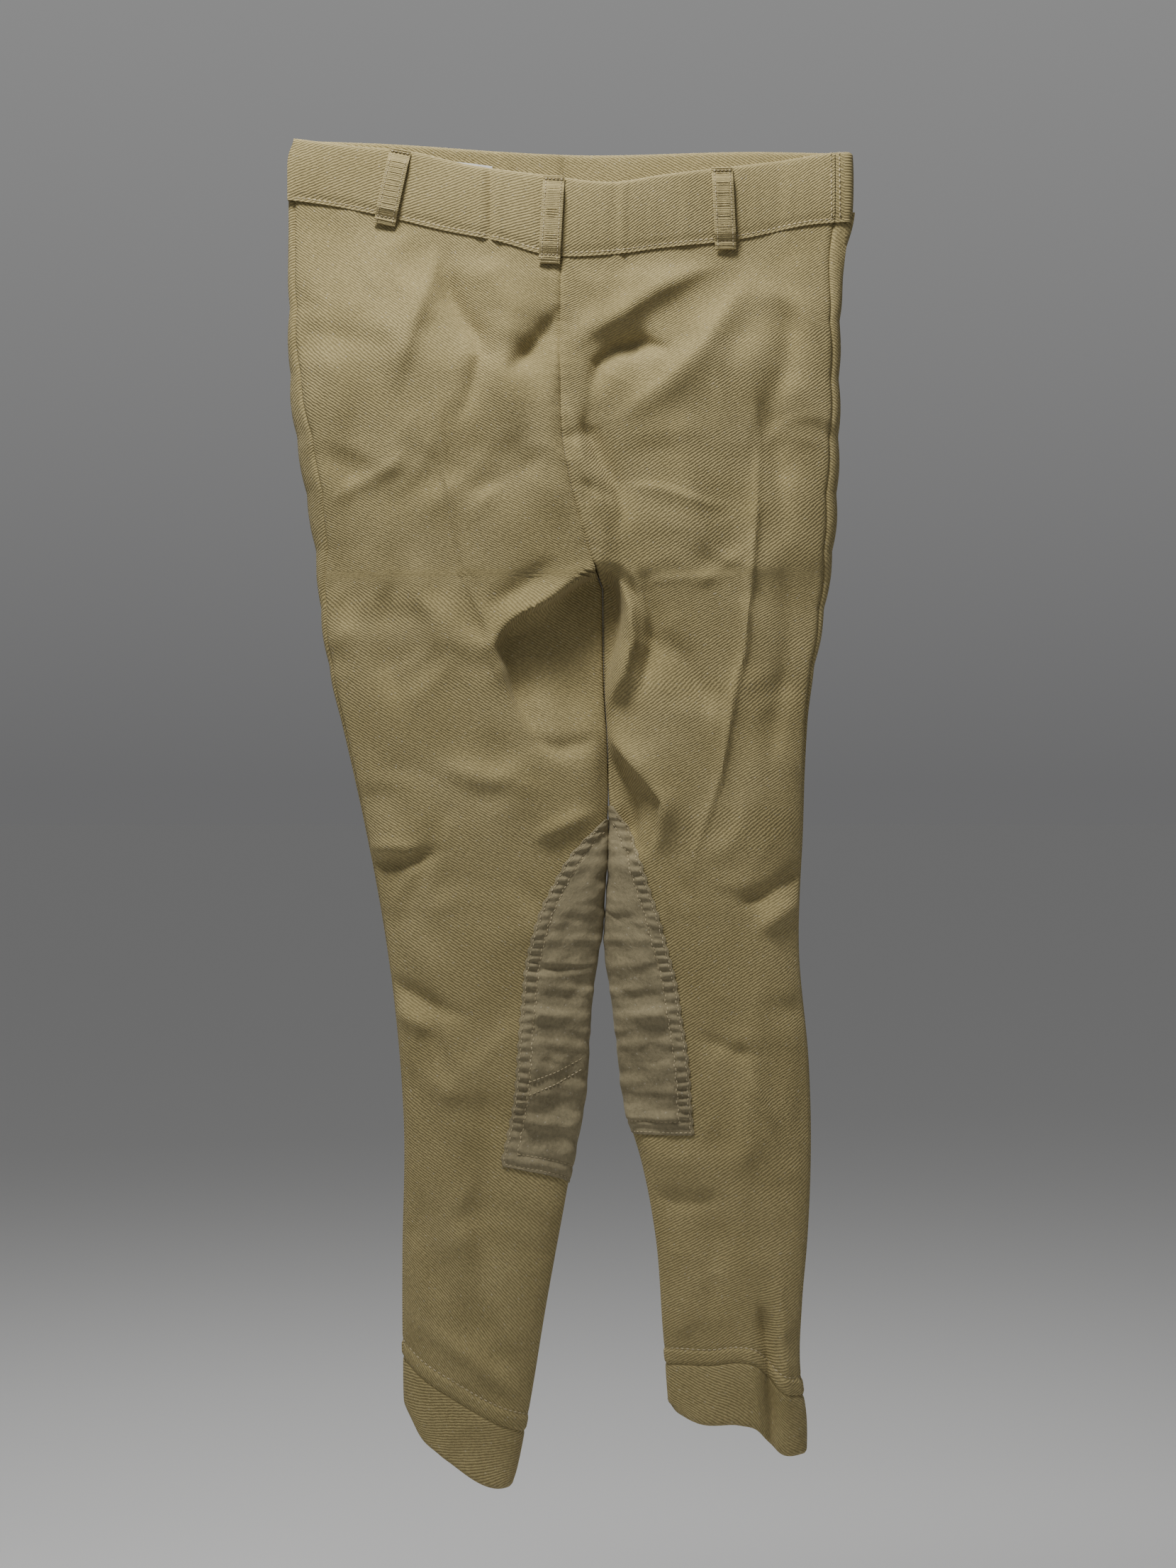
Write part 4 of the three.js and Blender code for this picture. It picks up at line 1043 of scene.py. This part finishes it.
# ---- Knee patches ----
# Each patch is a lighter napped cloth cut like a long leaf with a square foot. It wraps the
# inside of the knee, is sewn round the edge and again a finger's width in, and has shrunk
# less than the knit, so it ripples between the two rows.
nap = knit_finish("napped_patch", (0.33, 0.285, 0.175), (0.27, 0.23, 0.138), (0.235, 0.2, 0.12), rib=1.6,
                  slant=0, raised=0.3, ribbed=0.0)
EDGE_ROW, INNER_ROW = 1.5, 7.0  # the two rows of stitching, from the patch's edge
PATCHES = {
    "right": {
        "top": 339, "foot": 513, "foot_slant": 7,
        "width": [(339, 2), (343, 6), (355, 17), (373, 26.6), (393, 34), (411, 35.5), (433, 35),
                  (467, 35.5), (517, 36)],
        "folds": [([(-30, -411), (-22, -414), (12, -413), (18, -412)], -1.3, 0.9, 2.2),
                  ([(-30, -417), (-22, -418), (12, -417), (18, -416)], 0.6, 2.0, 2.5),
                  ([(-24, -462), (-12, -458), (0, -464)], 0.9, 3, 3), ([(-26, -478), (-14, -470),
                                                                        (2, -468)], -0.9, 3, 3)],
        "rows": [((-21, -470.5), (-8, -466), (4, -460)), ((-21, -477), (-8, -472), (4, -465.5))],
    },
    "left": {
        "top": 332, "foot": 498, "foot_slant": 0,
        "width": [(332, 2), (337, 5), (342, 8.6), (357, 14.7), (374, 21), (392, 28), (415, 33), (436, 33.5),
                  (477, 34),
                  (498, 31)],
        "folds": [([(12, -380), (17, -385), (35, -396), (48, -397), (54, -396)], -1.3, 1.8, 0.9),
                  ([(30, -430), (44, -440), (54, -440)], 0.9, 4, 4), ([(30, -448), (46, -456),
                                                                       (58, -454)], -0.9, 4, 4)],
        "rows": [],
    },
}
for leg_name, spec in PATCHES.items():
    leg = LEGS[leg_name]
    side = leg["side"]
    drops = np.concatenate([spec["top"] + np.array([0, 0.7, 1.5, 2.5]),
                            np.linspace(spec["top"] + 3.5, spec["foot"] - 3, 200),
                            spec["foot"] - np.array([2.2, 1.4, 0.7, 0])])
    columns = 76
    grid, walked = [], []
    for drop in drops:
        inner, outer_x = along(leg["inner"], drop), along(leg["outer"], drop)
        middle = (inner + outer_x) / 2
        wide = along(spec["width"], drop)
        scallop = math.sin(2 * math.pi * drop / 6.1 + 0.9 * math.sin(drop / 17 + 1.0))
        wide += 0.45 * scallop * smooth(3, 12, wide)
        if drop > spec["foot"] - 3:
            wide = wide - 1.5 * ((drop - spec["foot"] + 3) / 3) ** 2
        edge = math.acos((inner + side * wide - middle) / (outer_x - middle)) / math.pi
        u = np.concatenate([np.linspace(edge, 1, 160), np.linspace(-1, -edge, 160)])
        toward_tip = 1 - np.abs(np.linspace(-1, 1, len(u)))
        lower = spec["foot_slant"] * smooth(spec["foot"] - 90, spec["foot"], drop) * toward_tip
        row = cloth(leg, u, drop + lower)
        length = walk_along(row)
        total = length[-1]
        near = np.minimum(np.array([0, 0.5, 1.1]), total * 0.05 * np.array([0, 1, 2]))
        body = np.linspace(near[-1], total - near[-1], columns - 4)[1:-1]
        where = np.concatenate([near, body, (total - near)[::-1]])
        grid.append(spaced(row, where, length))
        walked.append(where)
    grid, walked = np.array(grid), np.array(walked)
    normal = facing(grid)
    middle = (along(leg["inner"], drops) + along(leg["outer"], drops)) / 2
    normal = turned_from(np.array([middle, 0 * drops, 0 * drops]).T[:, None], grid, normal)
    total = walked[:, -1:]
    from_edge = np.minimum(walked, total - walked)
    from_edge = np.minimum(from_edge, (spec["foot"] - drops)[:, None])
    inside = smooth(0, 6, total / 2 - from_edge)
    down = drops[:, None] + 0 * walked
    uneven = 1.9 * np.sin(down / 13 + 1.0) + 1.1 * np.sin(down / 5.9) + 0.3 * np.sin(walked / 3.1 + down / 8)
    strong = 0.75 + 0.25 * np.sin(down / 9.3 + 0.6)
    between_rows = smooth(0.4, 2.4, from_edge) * smooth(7.8, 5.4, from_edge)
    ruche = 0.62 * strong * np.sin(2 * math.pi * down / 4.7 + uneven) * between_rows
    ripple = 0.72 * waves(walked * 0.3, down, 21, 5, 17, 20) + 0.4 * waves(walked, down, 33, 6, 18, 12)
    ripple *= smooth(4, 9, from_edge)
    rows_sunk = -0.5 * np.exp(-(((from_edge - EDGE_ROW) / 0.5) ** 2))
    rows_sunk -= 0.5 * np.exp(-(((from_edge - INNER_ROW) / 0.6) ** 2))
    rim = -0.55 * np.exp(-((from_edge / 0.6) ** 2))
    at_tip = np.exp(-(((walked - total / 2) / 3.5) ** 2))
    lift = 1.15 - 0.3 * at_tip + (ruche * inside + ripple) * (1 - 0.75 * at_tip)
    lift = lift + rows_sunk * (total > 26) + rim
    front_share = np.where(grid[..., 1] < 0, 1, 0.4)
    pressed = fold_height(spec["folds"], grid[..., 0], grid[..., 2]) * front_share * (1 - at_tip)
    grid = grid + normal * np.maximum(lift + pressed, 0.35)[..., None]
    uv = np.stack([walked / 100, -down / 100], -1)
    patch = cloth_piece(f"{leg_name}_napped_patch", grid, 1.0, nap, uv)
    turn_out(patch)
    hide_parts(f"{leg_name}_knee_patch")
    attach(patch, f"{leg_name}_leg")

    def on_patch(rows_at, margin, back):
        """A row of stitching down the patch, at a margin from its front or back edge."""
        line, out = [], []
        for i in rows_at:
            at = walked[i, -1] - margin if back else margin
            line.append([np.interp(at, walked[i], grid[i, :, k]) for k in range(3)])
            out.append([np.interp(at, walked[i], normal[i, :, k]) for k in range(3)])
        line, out = np.array(line), np.array(out)
        return line + out * 0.1, out

    rows = []
    last = len(drops) - 1
    for back in (False, True):
        rows.append(on_patch(range(6, last - 2), EDGE_ROW, back))
        wide_enough = [i for i in range(6, last - 8) if walked[i, -1] > 24]
        rows.append(on_patch(wide_enough, INNER_ROW, back))
    foot_row = int(np.argmin(np.abs(drops - (spec["foot"] - 1.7))))
    inner_foot = int(np.argmin(np.abs(drops - (spec["foot"] - INNER_ROW))))
    for i, margin in ((foot_row, 1.6), (inner_foot, INNER_ROW)):
        pick = (walked[i] > margin) & (walked[i] < walked[i, -1] - margin)
        rows.append((grid[i, pick] + normal[i, pick] * 0.1, normal[i, pick]))
    front_half = grid[..., 1] < 0
    for row_points in spec["rows"]:
        row_points = np.array(row_points)
        share = np.linspace(0, 1, 24)
        line = np.stack([np.interp(share, [0, 0.5, 1], row_points[:, k]) for k in range(2)], -1)
        found, out = [], []
        for x, z in line:
            far = np.where(front_half, (grid[..., 0] - x) ** 2 + (grid[..., 2] - z) ** 2, 1e9)
            i, j = np.unravel_index(np.argmin(far), far.shape)
            found.append([x, grid[i, j, 1], z])
            out.append(normal[i, j])
        rows.append((np.array(found) + np.array(out) * 0.1, np.array(out)))
    row = sew(f"{leg_name}_patch_stitching", rows, pitch=2.2, length=1.8, width=0.55)
    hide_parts(f"{leg_name}_patch_topstitch")
    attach(row, f"{leg_name}_leg")
